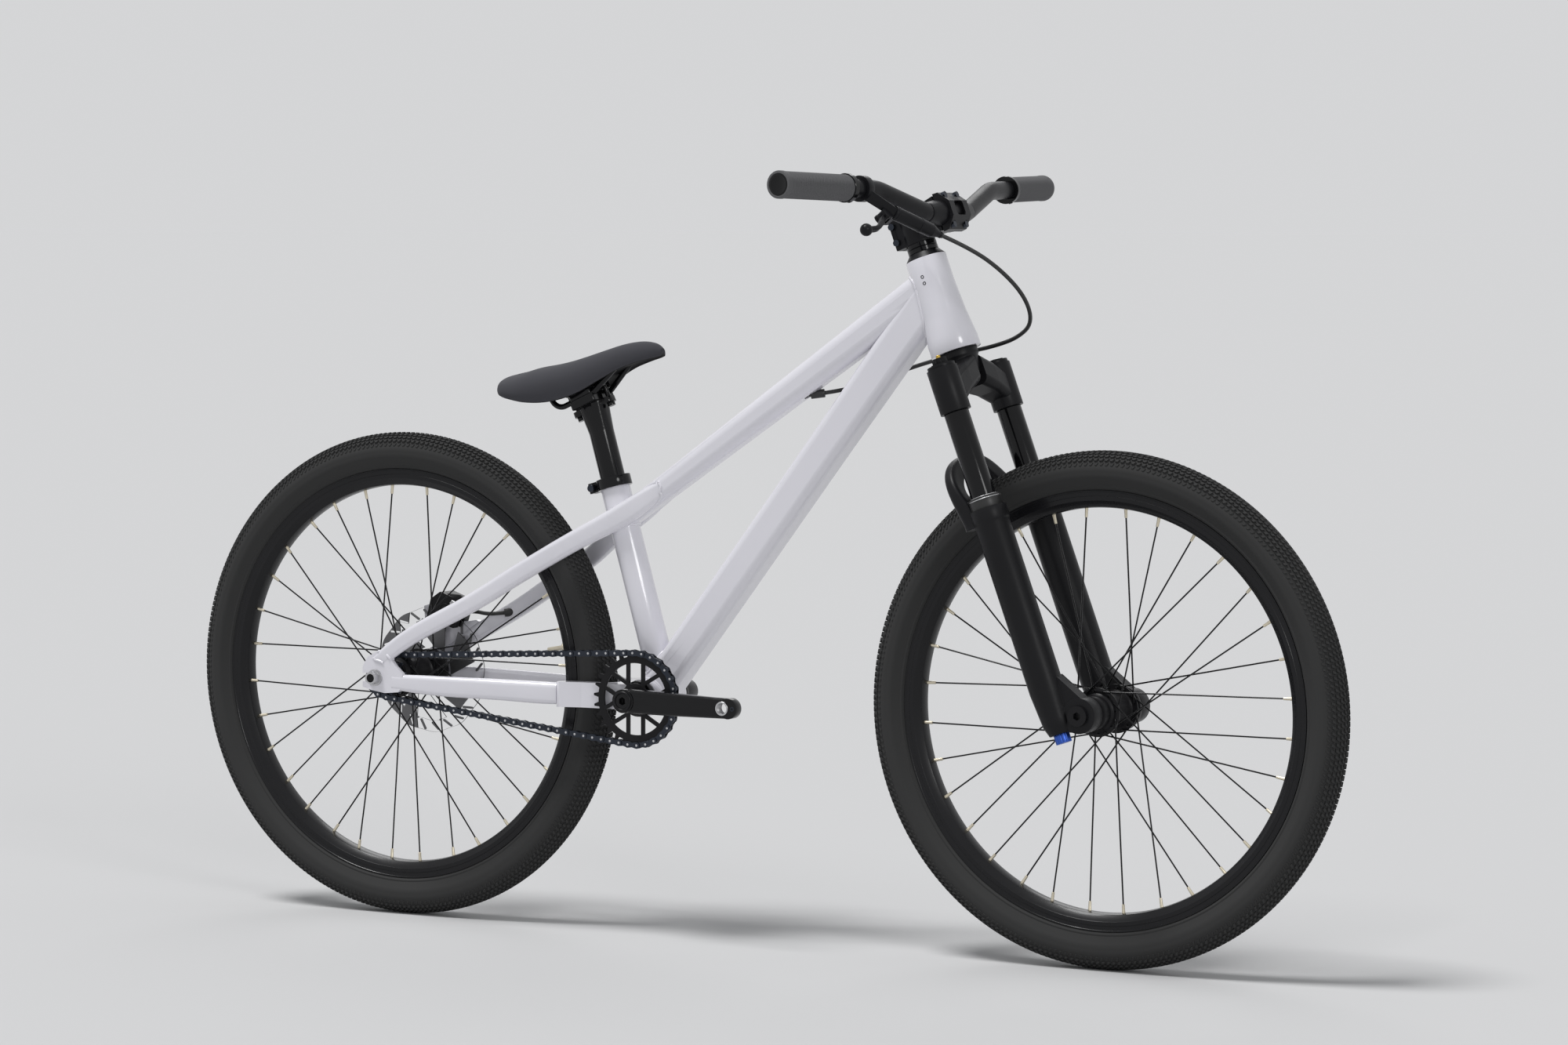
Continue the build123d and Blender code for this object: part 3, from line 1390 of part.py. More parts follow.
with BuildPart() as brake_caliper:
    with BuildSketch(Plane(origin=by_caliper(0, 0, caliper_right), x_dir=caliper_along, z_dir=(0, 1, 0))):
        with BuildLine():
            Polyline(
                (-22, -caliper_foot),
                (22, -caliper_foot),
                (22, -caliper_top + 12),
                (13, -caliper_top),
                (-13, -caliper_top),
                (-22, -caliper_top + 12),
                close=True,
            )
        make_face()
    extrude(amount=caliper_left - caliper_right)
    fillet(brake_caliper.edges().filter_by(Axis.Y), radius=2.5)
    slot_foot = by_caliper(0, caliper_foot - 1, rotor_y)
    with BuildSketch(Plane(origin=slot_foot, x_dir=caliper_along, z_dir=caliper_out)):
        Rectangle(60, pad_slot)
    extrude(amount=22.0, mode=Mode.SUBTRACT)
brake_caliper.part.label = "brake_caliper"
export_step(brake_caliper.part, "parts/brake_caliper.step")

# Two pads in the slot, one each side of the rotor
pad_thickness = pad_slot / 2 - rotor_thickness / 2 - pad_inset - 0.05
pad_blocks = {}
for side in (-1, 1):
    with BuildPart() as pad_block:
        with BuildSketch(
            Plane(
                origin=by_caliper(0, caliper_foot + 1.0, rotor_y + side * (rotor_thickness / 2 + pad_inset)),
                x_dir=caliper_along,
                z_dir=(0, side, 0),
            )
        ):
            Rectangle(26, 16, align=(Align.CENTER, Align.MAX if side > 0 else Align.MIN))
        extrude(amount=pad_thickness)
    pad_blocks[side] = pad_block

with BuildPart() as inner_brake_pad:
    add(pad_blocks[-1].part)
inner_brake_pad.part.label = "inner_brake_pad"
export_step(inner_brake_pad.part, "parts/inner_brake_pad.step")

with BuildPart() as outer_brake_pad:
    add(pad_blocks[1].part)
outer_brake_pad.part.label = "outer_brake_pad"
export_step(outer_brake_pad.part, "parts/outer_brake_pad.step")

# Bracket between the seatstay and the caliper, with two windows
with BuildPart() as caliper_bracket:
    with BuildSketch(Plane(origin=(0, 61.0, 0), x_dir=(1, 0, 0), z_dir=(0, -1, 0))):
        with BuildLine():
            Polyline(
                (-406, 362),
                (-424, 371),
                (-441, 368),
                (-486, 391),
                (-503, 386),
                (-500, 352),
                (-480, 330),
                (-440, 352),
                close=True,
            )
        make_face()
        with Locations((-484, 358)):
            RectangleRounded(14, 12, 4, rotation=20, mode=Mode.SUBTRACT)
    extrude(amount=-8.0)
    add(brake_caliper.part, mode=Mode.SUBTRACT)
    add(brake_stay.part, mode=Mode.SUBTRACT)
    add(brake_chainstay.part, mode=Mode.SUBTRACT)

# The bracket is welded to its stay.
with BuildPart() as brake_seatstay:
    add(brake_stay.part)
    add(caliper_bracket.part.solids().sort_by(SortBy.VOLUME)[-1])
brake_seatstay.part.label = "brake_seatstay"
export_step(brake_seatstay.part, "parts/brake_seatstay.step")

# Stem: a clamp on the steerer, a tapered neck and a clamp for the bar
bar_ahead = (bar_clamp[0] - head_foot[0]) * head_sin + (bar_clamp[2] - head_foot[2]) * head_cos
bar_up = -(bar_clamp[0] - head_foot[0]) * head_cos + (bar_clamp[2] - head_foot[2]) * head_sin
stem_clamp_radius = 18.2
stem_width = 46.0
face_gap = 1.6
stem_side = Plane(origin=head_foot, x_dir=head.x_dir, z_dir=(0, -1, 0))
with BuildPart() as stem:
    with BuildSketch(head.offset(stem_foot_up)):
        Circle(stem_clamp_radius)
        with Locations((-19, 0)):
            Rectangle(16, 26)
    extrude(amount=stem_height)
    with BuildSketch(stem_side):
        with BuildLine():
            Polyline(
                (4, stem_foot_up + 4),
                (bar_ahead - 4, bar_up - 20),
                (bar_ahead - face_gap / 2, bar_up - 20),
                (bar_ahead - face_gap / 2, bar_up + 20),
                (bar_ahead - 4, bar_up + 20),
                (4, stem_foot_up + stem_height - 4),
                close=True,
            )
        make_face()
    extrude(amount=15.5, both=True)
    with BuildSketch(stem_side):
        with BuildLine():
            Polyline(
                (bar_ahead - 15, bar_up - 19),
                (bar_ahead - face_gap / 2, bar_up - 21.5),
                (bar_ahead - face_gap / 2, bar_up + 21.5),
                (bar_ahead - 15, bar_up + 19),
                close=True,
            )
        make_face()
    extrude(amount=stem_width / 2, both=True)
    with BuildSketch(Plane(origin=bar_clamp, z_dir=(0, 1, 0))):
        Circle(bar_centre_radius)
    extrude(amount=40, both=True, mode=Mode.SUBTRACT)
    with BuildSketch(head.offset(stem_foot_up)):
        Circle(steerer_radius)
        with Locations((-22, 0)):
            Rectangle(20, 2.0)
    extrude(amount=stem_height, mode=Mode.SUBTRACT)
    # Holes for the two clamp bolts behind the steerer
    with BuildSketch(stem_side):
        with Locations((-23, stem_foot_up + 9), (-23, stem_foot_up + stem_height - 9)):
            Circle(2.5)
    extrude(amount=20, both=True, mode=Mode.SUBTRACT)
stem.part.label = "stem"
export_step(stem.part, "parts/stem.step")

# Faceplate with a window, and the four bolts that hold it
bolt_rows = (-15.5, 15.5)
bolt_heights = (-18.6, 18.6)
face_bolt_start = 9.0
face_plane = Plane(
    origin=in_head(bar_ahead, 0, -bar_up), x_dir=(0, 1, 0), z_dir=head.x_dir
)
with BuildPart() as stem_faceplate:
    with BuildSketch(stem_side):
        with BuildLine():
            Polyline(
                (bar_ahead + face_gap / 2, bar_up - 23.5),
                (bar_ahead + 8, bar_up - 23),
                (bar_ahead + 19.5, bar_up - 9),
                (bar_ahead + 19.5, bar_up + 9),
                (bar_ahead + 8, bar_up + 23),
                (bar_ahead + face_gap / 2, bar_up + 23.5),
                close=True,
            )
        make_face()
    extrude(amount=stem_width / 2, both=True)
    with BuildSketch(Plane(origin=bar_clamp, z_dir=(0, 1, 0))):
        Circle(bar_centre_radius)
    extrude(amount=40, both=True, mode=Mode.SUBTRACT)
    with BuildSketch(face_plane):
        RectangleRounded(22, 18, 4)
    extrude(amount=30, mode=Mode.SUBTRACT)
    with BuildSketch(face_plane):
        with Locations(*[(row, height) for row in bolt_rows for height in bolt_heights]):
            Circle(2.5)
    extrude(amount=30, mode=Mode.SUBTRACT)
    with BuildSketch(face_plane.offset(face_bolt_start + face_gap / 2 - 0.02)):
        with Locations(*[(row, height) for row in bolt_rows for height in bolt_heights]):
            Circle(4.4)
    extrude(amount=30, mode=Mode.SUBTRACT)
stem_faceplate.part.label = "stem_faceplate"
export_step(stem_faceplate.part, "parts/stem_faceplate.step")

bolt_shank = 2.48
with BuildPart() as stem_bolts:
    for row in bolt_rows:
        for height in bolt_heights:
            with BuildSketch(face_plane.offset(face_gap / 2 + 0.02)):
                with Locations((row, height)):
                    Circle(bolt_shank)
            extrude(amount=face_bolt_start)
            with BuildSketch(face_plane.offset(face_bolt_start + face_gap / 2)):
                with Locations((row, height)):
                    RegularPolygon(4.2, 8)
            extrude(amount=4.5)
    for height in (stem_foot_up + 9, stem_foot_up + stem_height - 9):
        clamp_bolt = in_head(-23, 0, -height)
        with BuildSketch(Plane(origin=clamp_bolt - Vector(0, 13.0, 0), z_dir=(0, 1, 0))):
            Circle(bolt_shank)
        extrude(amount=25.8)
        with BuildSketch(Plane(origin=clamp_bolt - Vector(0, 13.0, 0), z_dir=(0, -1, 0))):
            RegularPolygon(4.2, 8)
        extrude(amount=4.0)
stem_bolts.part.label = "stem_bolts"
export_step(stem_bolts.part, "parts/stem_bolts.step")

# Cone cover on the head tube, two spacers and the top cap with its bolt
with BuildPart() as headset_cover:
    with BuildSketch(head.offset(head_length + 0.3)):
        Circle(head_top_radius - 0.4)
    with BuildSketch(head.offset(head_length + 7.5)):
        Circle(18.5)
    loft()
    with BuildSketch(head.offset(head_length + 7.5)):
        Circle(steerer_radius + 3.4)
    extrude(amount=stem_foot_up - head_length - 7.5)
    with BuildSketch(head.offset(head_length)):
        Circle(steerer_radius)
    extrude(amount=40, mode=Mode.SUBTRACT)
    with BuildSketch(head.offset(stem_foot_up + stem_height)):
        Circle(17.5)
    extrude(amount=3.0)
    with BuildSketch(head.offset(stem_foot_up + stem_height + 3.0)):
        Circle(4.5)
    extrude(amount=2.5)
headset_cover.part.label = "headset_cover"
export_step(headset_cover.part, "parts/headset_cover.step")

# Handlebar: a thick middle, a rise either side and swept ends
bar_half = 336.0
bar_bend_low = (275.0, 50.0, 887.4)
bar_bend_high = (258.5, 148.0, 914.5)
bar_end = (236.5, bar_half, 919.0)


def bar_point(point, side):
    """The same point of the bar on either side."""
    return Vector(point[0], side * point[1], point[2])


end_run = (Vector(bar_end) - Vector(bar_bend_high)).normalized()


def on_bar(left):
    """Point of the straight end of the bar at a distance to the left, or right if negative."""
    side = 1 if left > 0 else -1
    away = (abs(left) - bar_bend_high[1]) / end_run.Y
    place = Vector(bar_bend_high) + end_run * away
    return Vector(place.X, side * place.Y, place.Z)


def bar_plane(left):
    """Plane square to the bar's end, facing outwards, with its local x pointing forwards."""
    side = 1 if left > 0 else -1
    outward = Vector(end_run.X, side * end_run.Y, end_run.Z)
    return Plane(origin=on_bar(left), x_dir=Vector(0, 0, 1).cross(outward) * -side, z_dir=outward)


with BuildPart() as handlebar:
    with BuildLine() as bar_line:
        FilletPolyline(
            bar_point(bar_end, -1),
            bar_point(bar_bend_high, -1),
            bar_point(bar_bend_low, -1),
            bar_point(bar_bend_low, 1),
            bar_point(bar_bend_high, 1),
            bar_point(bar_end, 1),
            radius=80,
        )
    with BuildSketch(Plane(origin=bar_point(bar_end, -1), z_dir=bar_line.line % 0)):
        Circle(bar_radius)
    sweep()
    with BuildSketch(Plane(origin=(bar_clamp[0], -26, bar_clamp[2]), z_dir=(0, 1, 0))):
        Circle(bar_centre_radius)
    extrude(amount=52)
    for side in (-1, 1):
        with BuildSketch(Plane(origin=(bar_clamp[0], side * 26, bar_clamp[2]), z_dir=(0, side, 0))):
            Circle(bar_centre_radius)
        taper_end = (bar_clamp[0] - 0.5, side * 52, bar_clamp[2] + 0.8)
        with BuildSketch(Plane(origin=taper_end, z_dir=(0, side, 0))):
            Circle(bar_radius + 0.4)
        loft()
handlebar.part.label = "handlebar"
export_step(handlebar.part, "parts/handlebar.step")

# Grips, with a clamp collar at the inner end and a flanged cap at the outer end
with BuildPart() as grips:
    for side in (-1, 1):
        with BuildSketch(bar_plane(side * grip_inner)):
            Circle(grip_radius)
            Circle(bar_radius + 0.01, mode=Mode.SUBTRACT)
        extrude(amount=(grip_outer - grip_inner) / end_run.Y)
grips.part.label = "grips"
export_step(grips.part, "parts/grips.step")

collar_width = 8.0
with BuildPart() as grip_collars:
    for side in (-1, 1):
        with BuildSketch(bar_plane(side * grip_inner)):
            Circle(grip_radius + 1.4)
            Circle(bar_radius + 0.01, mode=Mode.SUBTRACT)
        extrude(amount=-collar_width)
        with BuildSketch(bar_plane(side * grip_outer)):
            Circle(grip_radius + 0.6)
        extrude(amount=9.0)
        with BuildSketch(bar_plane(side * grip_outer)):
            Circle(bar_radius + 0.01)
        extrude(amount=(bar_half - grip_outer) / end_run.Y + 0.02, mode=Mode.SUBTRACT)
grip_collars.part.label = "grip_collars"
export_step(grip_collars.part, "parts/grip_collars.step")

# Brake lever body: a clamp on the bar, an arm and the barrel that holds the fluid
pivot_way = Vector(-0.768, 0, -0.640).normalized()
pivot_point = Vector(280.5, -172.0, 883.0)
barrel_start = Vector(287.5, -159.0, 888.0)
barrel_end = Vector(317.5, -103.0, 863.0)
barrel_run = barrel_end - barrel_start
blade_thickness = 9.0
blade_gap = 0.2
pivot_pin_radius = 2.4
swing_radius = 8.5
clamp_width = 11.0
with BuildPart() as lever_body:
    with BuildSketch(bar_plane(-lever_y + clamp_width / 2)):
        Circle(bar_radius + 4.2)
    extrude(amount=clamp_width)
    with BuildSketch(section_at(on_bar(-lever_y) + Vector(8, 0, -7), (20, 8, -20))):
        Rectangle(10, 14)
    with BuildSketch(section_at(barrel_start + barrel_run.normalized() * 5, (20, 8, -20))):
        Rectangle(12, 12)
    loft()
    with BuildSketch(section_at(barrel_start, barrel_run)):
        Circle(8.3)
    extrude(amount=barrel_run.length - 12)
    with BuildSketch(section_at(barrel_end - barrel_run.normalized() * 12, barrel_run)):
        Circle(8.3)
    with BuildSketch(section_at(barrel_end, barrel_run)):
        Circle(4.0)
    loft()
    # Ears above and below the blade, joined to the barrel behind the blade's swing
    for way in (-1, 1):
        ear_face = pivot_point + pivot_way * (way * (blade_thickness / 2 + blade_gap))
        with BuildSketch(Plane(origin=ear_face, z_dir=pivot_way * way)):
            Circle(6.6)
        extrude(amount=2.8)
    with BuildSketch(section_at(pivot_point + Vector(0, 3, 0), (0, 1, 0), pivot_way)):
        Rectangle(13.2, blade_thickness + 6.0)
    extrude(amount=12)
    with BuildSketch(Plane(origin=pivot_point, z_dir=pivot_way)):
        Circle(swing_radius)
    extrude(amount=blade_thickness / 2 + blade_gap, both=True, mode=Mode.SUBTRACT)
    with BuildSketch(Plane(origin=pivot_point, z_dir=pivot_way)):
        Circle(pivot_pin_radius)
    extrude(amount=blade_thickness / 2 + 2.0, both=True)
    with BuildSketch(bar_plane(-lever_y + clamp_width)):
        Circle(bar_radius + 0.01)
    extrude(amount=2 * clamp_width, mode=Mode.SUBTRACT)
lever_body.part.label = "lever_body"
export_step(lever_body.part, "parts/lever_body.step")

# Lever blade: a boss on the pin, a curved finger and a ball at its end
blade_tip = Vector(285.4, -222.0, 868.0)
blade_route = [pivot_point, Vector(289.0, -192.0, 875.0), Vector(291.5, -207.0, 869.0), blade_tip]
with BuildPart() as lever_blade:
    with BuildLine() as blade_line:
        FilletPolyline(*blade_route, radius=14)
    with BuildSketch(section_at(blade_route[0], blade_line.line % 0, pivot_way)):
        RectangleRounded(5.8, blade_thickness - 1.2, 1.8)
    sweep()
    with BuildSketch(Plane(origin=pivot_point, z_dir=pivot_way)):
        Circle(6.2)
    extrude(amount=blade_thickness / 2, both=True)
    with Locations(blade_tip):
        Sphere(7.4)
    with BuildSketch(Plane(origin=pivot_point, z_dir=pivot_way)):
        Circle(pivot_pin_radius + bearing_gap)
    extrude(amount=20, both=True, mode=Mode.SUBTRACT)
lever_blade.part.label = "lever_blade"
export_step(lever_blade.part, "parts/lever_blade.step")

# Brake hose: from the lever, in a loop before the head tube, back along the left into the top tube
front_route = [
    barrel_end,
    Vector(347, -76, 846),
    Vector(374, -47, 819),
    Vector(389, -17, 788),
    Vector(385, 9, 758),
    Vector(357, 26, 740),
    Vector(318, 39, 729),
    Vector(277, 45, 721),
    Vector(236, 44, 711),
    Vector(196, 38, 698),
    Vector(159, 29, 684),
    hose_entry[0],
    hose_entry[1],
]
rear_route = [
    hose_exit[0],
    hose_exit[1],
    Vector(-400, 45, 381),
    Vector(-418, 54, 382.5),
    by_caliper(22.0, 88.0, 63.0),
]


def bend_radii(route):
    """Bend radius at each inner point of a hose's route, as large as the shorter run beside it allows."""
    radii = []
    for before, corner, after in zip(route, route[1:], route[2:]):
        arriving = corner - before
        leaving = after - corner
        turn = radians(arriving.get_angle(leaving))
        radii.append(0.45 * min(arriving.length, leaving.length) / tan(turn / 2))
    return radii


with BuildPart() as brake_hose_front:
    with BuildLine() as front_line:
        FilletPolyline(*front_route, radius=bend_radii(front_route))
    with BuildSketch(Plane(origin=front_line.line @ 0, z_dir=front_line.line % 0)):
        Circle(hose_radius)
    sweep()
    add(lever_body.part, mode=Mode.SUBTRACT)
front_length = sum(edge.length for edge in front_line.edges())
print("front hose length", front_length)
brake_hose_front.part.label = "brake_hose_front"
export_step(brake_hose_front.part, "parts/brake_hose_front.step")

with BuildPart() as brake_hose_rear:
    with BuildLine() as rear_line:
        FilletPolyline(*rear_route, radius=bend_radii(rear_route))
    with BuildSketch(Plane(origin=rear_line.line @ 0, z_dir=rear_line.line % 0)):
        Circle(hose_radius)
    sweep()
    add(brake_caliper.part, mode=Mode.SUBTRACT)
rear_length = sum(edge.length for edge in rear_line.edges())
print("rear hose length", rear_length)
brake_hose_rear.part.label = "brake_hose_rear"
export_step(brake_hose_rear.part, "parts/brake_hose_rear.step")

# Rubber grommets where the hose goes in and out of the frame
with BuildPart() as hose_grommets:
    with BuildSketch(entry_plane.offset(18)):
        Circle(grommet_radius)
        Circle(hose_radius, mode=Mode.SUBTRACT)
    extrude(amount=17)
    with BuildSketch(exit_plane.offset(4)):
        Circle(grommet_radius)
        Circle(hose_radius, mode=Mode.SUBTRACT)
    extrude(amount=13)
hose_grommets.part.label = "hose_grommets"
export_step(hose_grommets.part, "parts/hose_grommets.step")

# Seatpost with a flat head for the rail clamp
post_foot = 150.0
post_top = 357.0
rail_centre = Vector(-217.0, 0, 660.1)
rail_lean = 24.8
rail_frame = Plane(
    origin=rail_centre,
    x_dir=(cos(radians(rail_lean)), 0, sin(radians(rail_lean))),
    z_dir=(-sin(radians(rail_lean)), 0, cos(radians(rail_lean))),
)
rail_radius = 3.5
clamp_bolt_reach = 23.5
rail_half_gap = 21.0
with BuildPart() as seatpost:
    with BuildSketch(seat.offset(post_foot)):
        Circle(seatpost_radius)
        Circle(seatpost_radius - 2.5, mode=Mode.SUBTRACT)
    extrude(amount=post_top - post_foot - 20)
    with BuildSketch(seat.offset(post_top - 20)):
        Circle(seatpost_radius)
    with BuildSketch(rail_frame.offset(-10)):
        RectangleRounded(36, 33, 13)
    loft(ruled=True)
    # Two ears at the head carry the clamp bolts.
    with BuildSketch(rail_frame.offset(-17)):
        RectangleRounded(58, 20, 7)
    extrude(amount=7)
    with BuildSketch(rail_frame.offset(-17)):
        with Locations((-clamp_bolt_reach, 0), (clamp_bolt_reach, 0)):
            Circle(3.05)
    extrude(amount=7, mode=Mode.SUBTRACT)
seatpost.part.label = "seatpost"
export_step(seatpost.part, "parts/seatpost.step")

rail_bends = [(-275, 24, 688), (-253, 22.0, 643.5), (-200, 20.0, 668.0), (-156, 13.0, 716)]
with BuildPart() as saddle_rails:
    for side in (-1, 1):
        with BuildLine() as rail_line:
            FilletPolyline(*[Vector(x, side * y, z) for x, y, z in rail_bends], radius=14)
        with BuildSketch(Plane(origin=rail_line.line @ 0, z_dir=rail_line.line % 0)):
            Circle(rail_radius)
        sweep()
saddle_rails.part.label = "saddle_rails"
export_step(saddle_rails.part, "parts/saddle_rails.step")

# Rail clamp: a grooved cradle on the head, two top plates and two bolts
with BuildPart() as saddle_clamp:
    with BuildSketch(rail_frame.offset(-10)):
        RectangleRounded(36, 53, 4)
    extrude(amount=9.6)
    with BuildSketch(rail_frame.offset(0.4)):
        RectangleRounded(32, 53, 4)
    extrude(amount=6.5)
    for way in (-1, 1):
        with BuildSketch(rail_frame.offset(-20)):
            with Locations((way * clamp_bolt_reach, 0)):
                Circle(3.0)
        extrude(amount=30)
        with BuildSketch(rail_frame.offset(-22)):
            with Locations((way * clamp_bolt_reach, 0)):
                Circle(4.8)
        extrude(amount=5)
        with BuildSketch(rail_frame.offset(4)):
            with Locations((way * 20.5, 0)):
                RectangleRounded(16, 14, 3)
        extrude(amount=7)
    add(saddle_rails.part, mode=Mode.SUBTRACT)
    add(seatpost.part, mode=Mode.SUBTRACT)

# Saddle: a padded cushion, crowned across, drawn in at its sides, hollow beneath
saddle_sections = [
    (-331.0, 676.0, 669.0, 24.0),
    (-325.0, 684.5, 663.0, 46.0),
    (-311.0, 688.5, 659.5, 61.0),
    (-294.0, 692.3, 656.5, 67.0),
    (-278.0, 697.0, 654.0, 66.0),
    (-258.0, 700.5, 653.8, 58.0),
    (-238.0, 705.0, 657.5, 46.5),
    (-216.0, 711.5, 666.5, 36.0),
    (-192.0, 719.0, 681.0, 28.0),
    (-166.0, 726.5, 695.5, 23.0),
    (-142.0, 730.0, 704.5, 20.0),
    (-124.0, 728.0, 709.5, 14.5),
    (-113.5, 721.5, 712.5, 6.0),
]


def cushion_curve(top, foot, half_width):
    """Cross section of the cushion: a low crown, full shoulders and sides drawn in below them."""
    height = top - foot
    right = [
        (0.30, 0.97),
        (0.58, 0.88),
        (0.82, 0.72),
        (0.97, 0.48),
        (1.0, 0.28),
        (0.93, 0.0),
    ]
    shape = [(-half_width * wide, foot + height * tall) for wide, tall in reversed(right)]
    shape.append((0, top))
    shape.extend((half_width * wide, foot + height * tall) for wide, tall in right)
    return shape


with BuildPart() as saddle_cushion:
    for x, top, foot, half_width in saddle_sections:
        with BuildSketch(Plane(origin=(x, 0, 0), x_dir=(0, 1, 0), z_dir=(1, 0, 0))):
            with BuildLine():
                curve = cushion_curve(top, foot, half_width)
                Spline(*curve)
                Line(curve[-1], curve[0])
            make_face()
    loft()

with BuildPart() as saddle_hollow:
    for x, top, foot, half_width in saddle_sections[2:11]:
        with BuildSketch(Plane(origin=(x, 0, 0), x_dir=(0, 1, 0), z_dir=(1, 0, 0))):
            with Locations((0, (foot - 8 + top - 17) / 2)):
                RectangleRounded(2 * (half_width * 0.88 - 6), top - 17 - foot + 8, 2.5)
    loft(ruled=True)

with BuildPart() as saddle:
    add(saddle_cushion.part)
    add(saddle_hollow.part, mode=Mode.SUBTRACT)
    add(saddle_rails.part, mode=Mode.SUBTRACT)
    add(saddle_clamp.part, mode=Mode.SUBTRACT)
saddle.part.label = "saddle"
export_step(saddle.part, "parts/saddle.step")
saddle_clamp.part.label = "saddle_clamp"
export_step(saddle_clamp.part, "parts/saddle_clamp.step")
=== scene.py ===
"""Dirt jump bicycle: the finish of every piece, in metres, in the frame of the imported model.

+X points forwards, +Y to the rider's left and +Z up. The origin is on the ground, midway
between the two axles.
"""

import logging
import math
from collections.abc import Callable, Iterable, Sequence
from dataclasses import dataclass, field
from enum import Enum

import bmesh
import bpy
from mathutils import Matrix, Vector
from mathutils.bvhtree import BVHTree


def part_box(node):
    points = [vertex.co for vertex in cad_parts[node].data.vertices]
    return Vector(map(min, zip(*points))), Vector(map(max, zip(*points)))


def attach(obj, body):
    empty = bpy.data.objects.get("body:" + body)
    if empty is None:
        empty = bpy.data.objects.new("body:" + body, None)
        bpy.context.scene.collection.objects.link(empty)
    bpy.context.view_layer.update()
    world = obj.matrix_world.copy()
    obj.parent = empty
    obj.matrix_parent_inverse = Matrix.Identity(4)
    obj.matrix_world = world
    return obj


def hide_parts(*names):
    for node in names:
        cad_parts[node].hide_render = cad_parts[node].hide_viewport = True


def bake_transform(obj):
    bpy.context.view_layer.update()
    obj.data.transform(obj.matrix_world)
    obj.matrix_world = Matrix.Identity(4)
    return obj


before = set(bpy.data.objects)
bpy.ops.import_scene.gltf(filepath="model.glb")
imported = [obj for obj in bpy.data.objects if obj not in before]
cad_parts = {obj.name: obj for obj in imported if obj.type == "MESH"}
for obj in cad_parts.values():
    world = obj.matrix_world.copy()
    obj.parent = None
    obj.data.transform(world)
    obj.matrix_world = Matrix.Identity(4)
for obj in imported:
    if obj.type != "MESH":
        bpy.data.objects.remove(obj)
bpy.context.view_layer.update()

log = logging.getLogger("jump_bike")

MM = 0.001
PHOTO_WIDTH = 2000
Colour = tuple[float, float, float]


class Body(Enum):
    """Moving groups of the bicycle that pieces ride on."""

    FRAME = "frame"
    STEERING = "steering"
    LEVER = "lever"
    LOWER_LEGS = "lower_legs"
    REBOUND = "rebound_adjuster"
    COMPRESSION = "compression_knob"
    FRONT_WHEEL = "front_wheel"
    REAR_WHEEL = "rear_wheel"
    DRIVER = "driver"
    CRANK = "crank"
    SEAT = "seat_post_and_saddle"


class Surface(Enum):
    """How the fine relief of a finish is laid."""

    PEEL = "peel"
    CAST = "cast"
    BRUSHED = "brushed"
    RUBBER = "rubber"
    WEAVE = "weave"


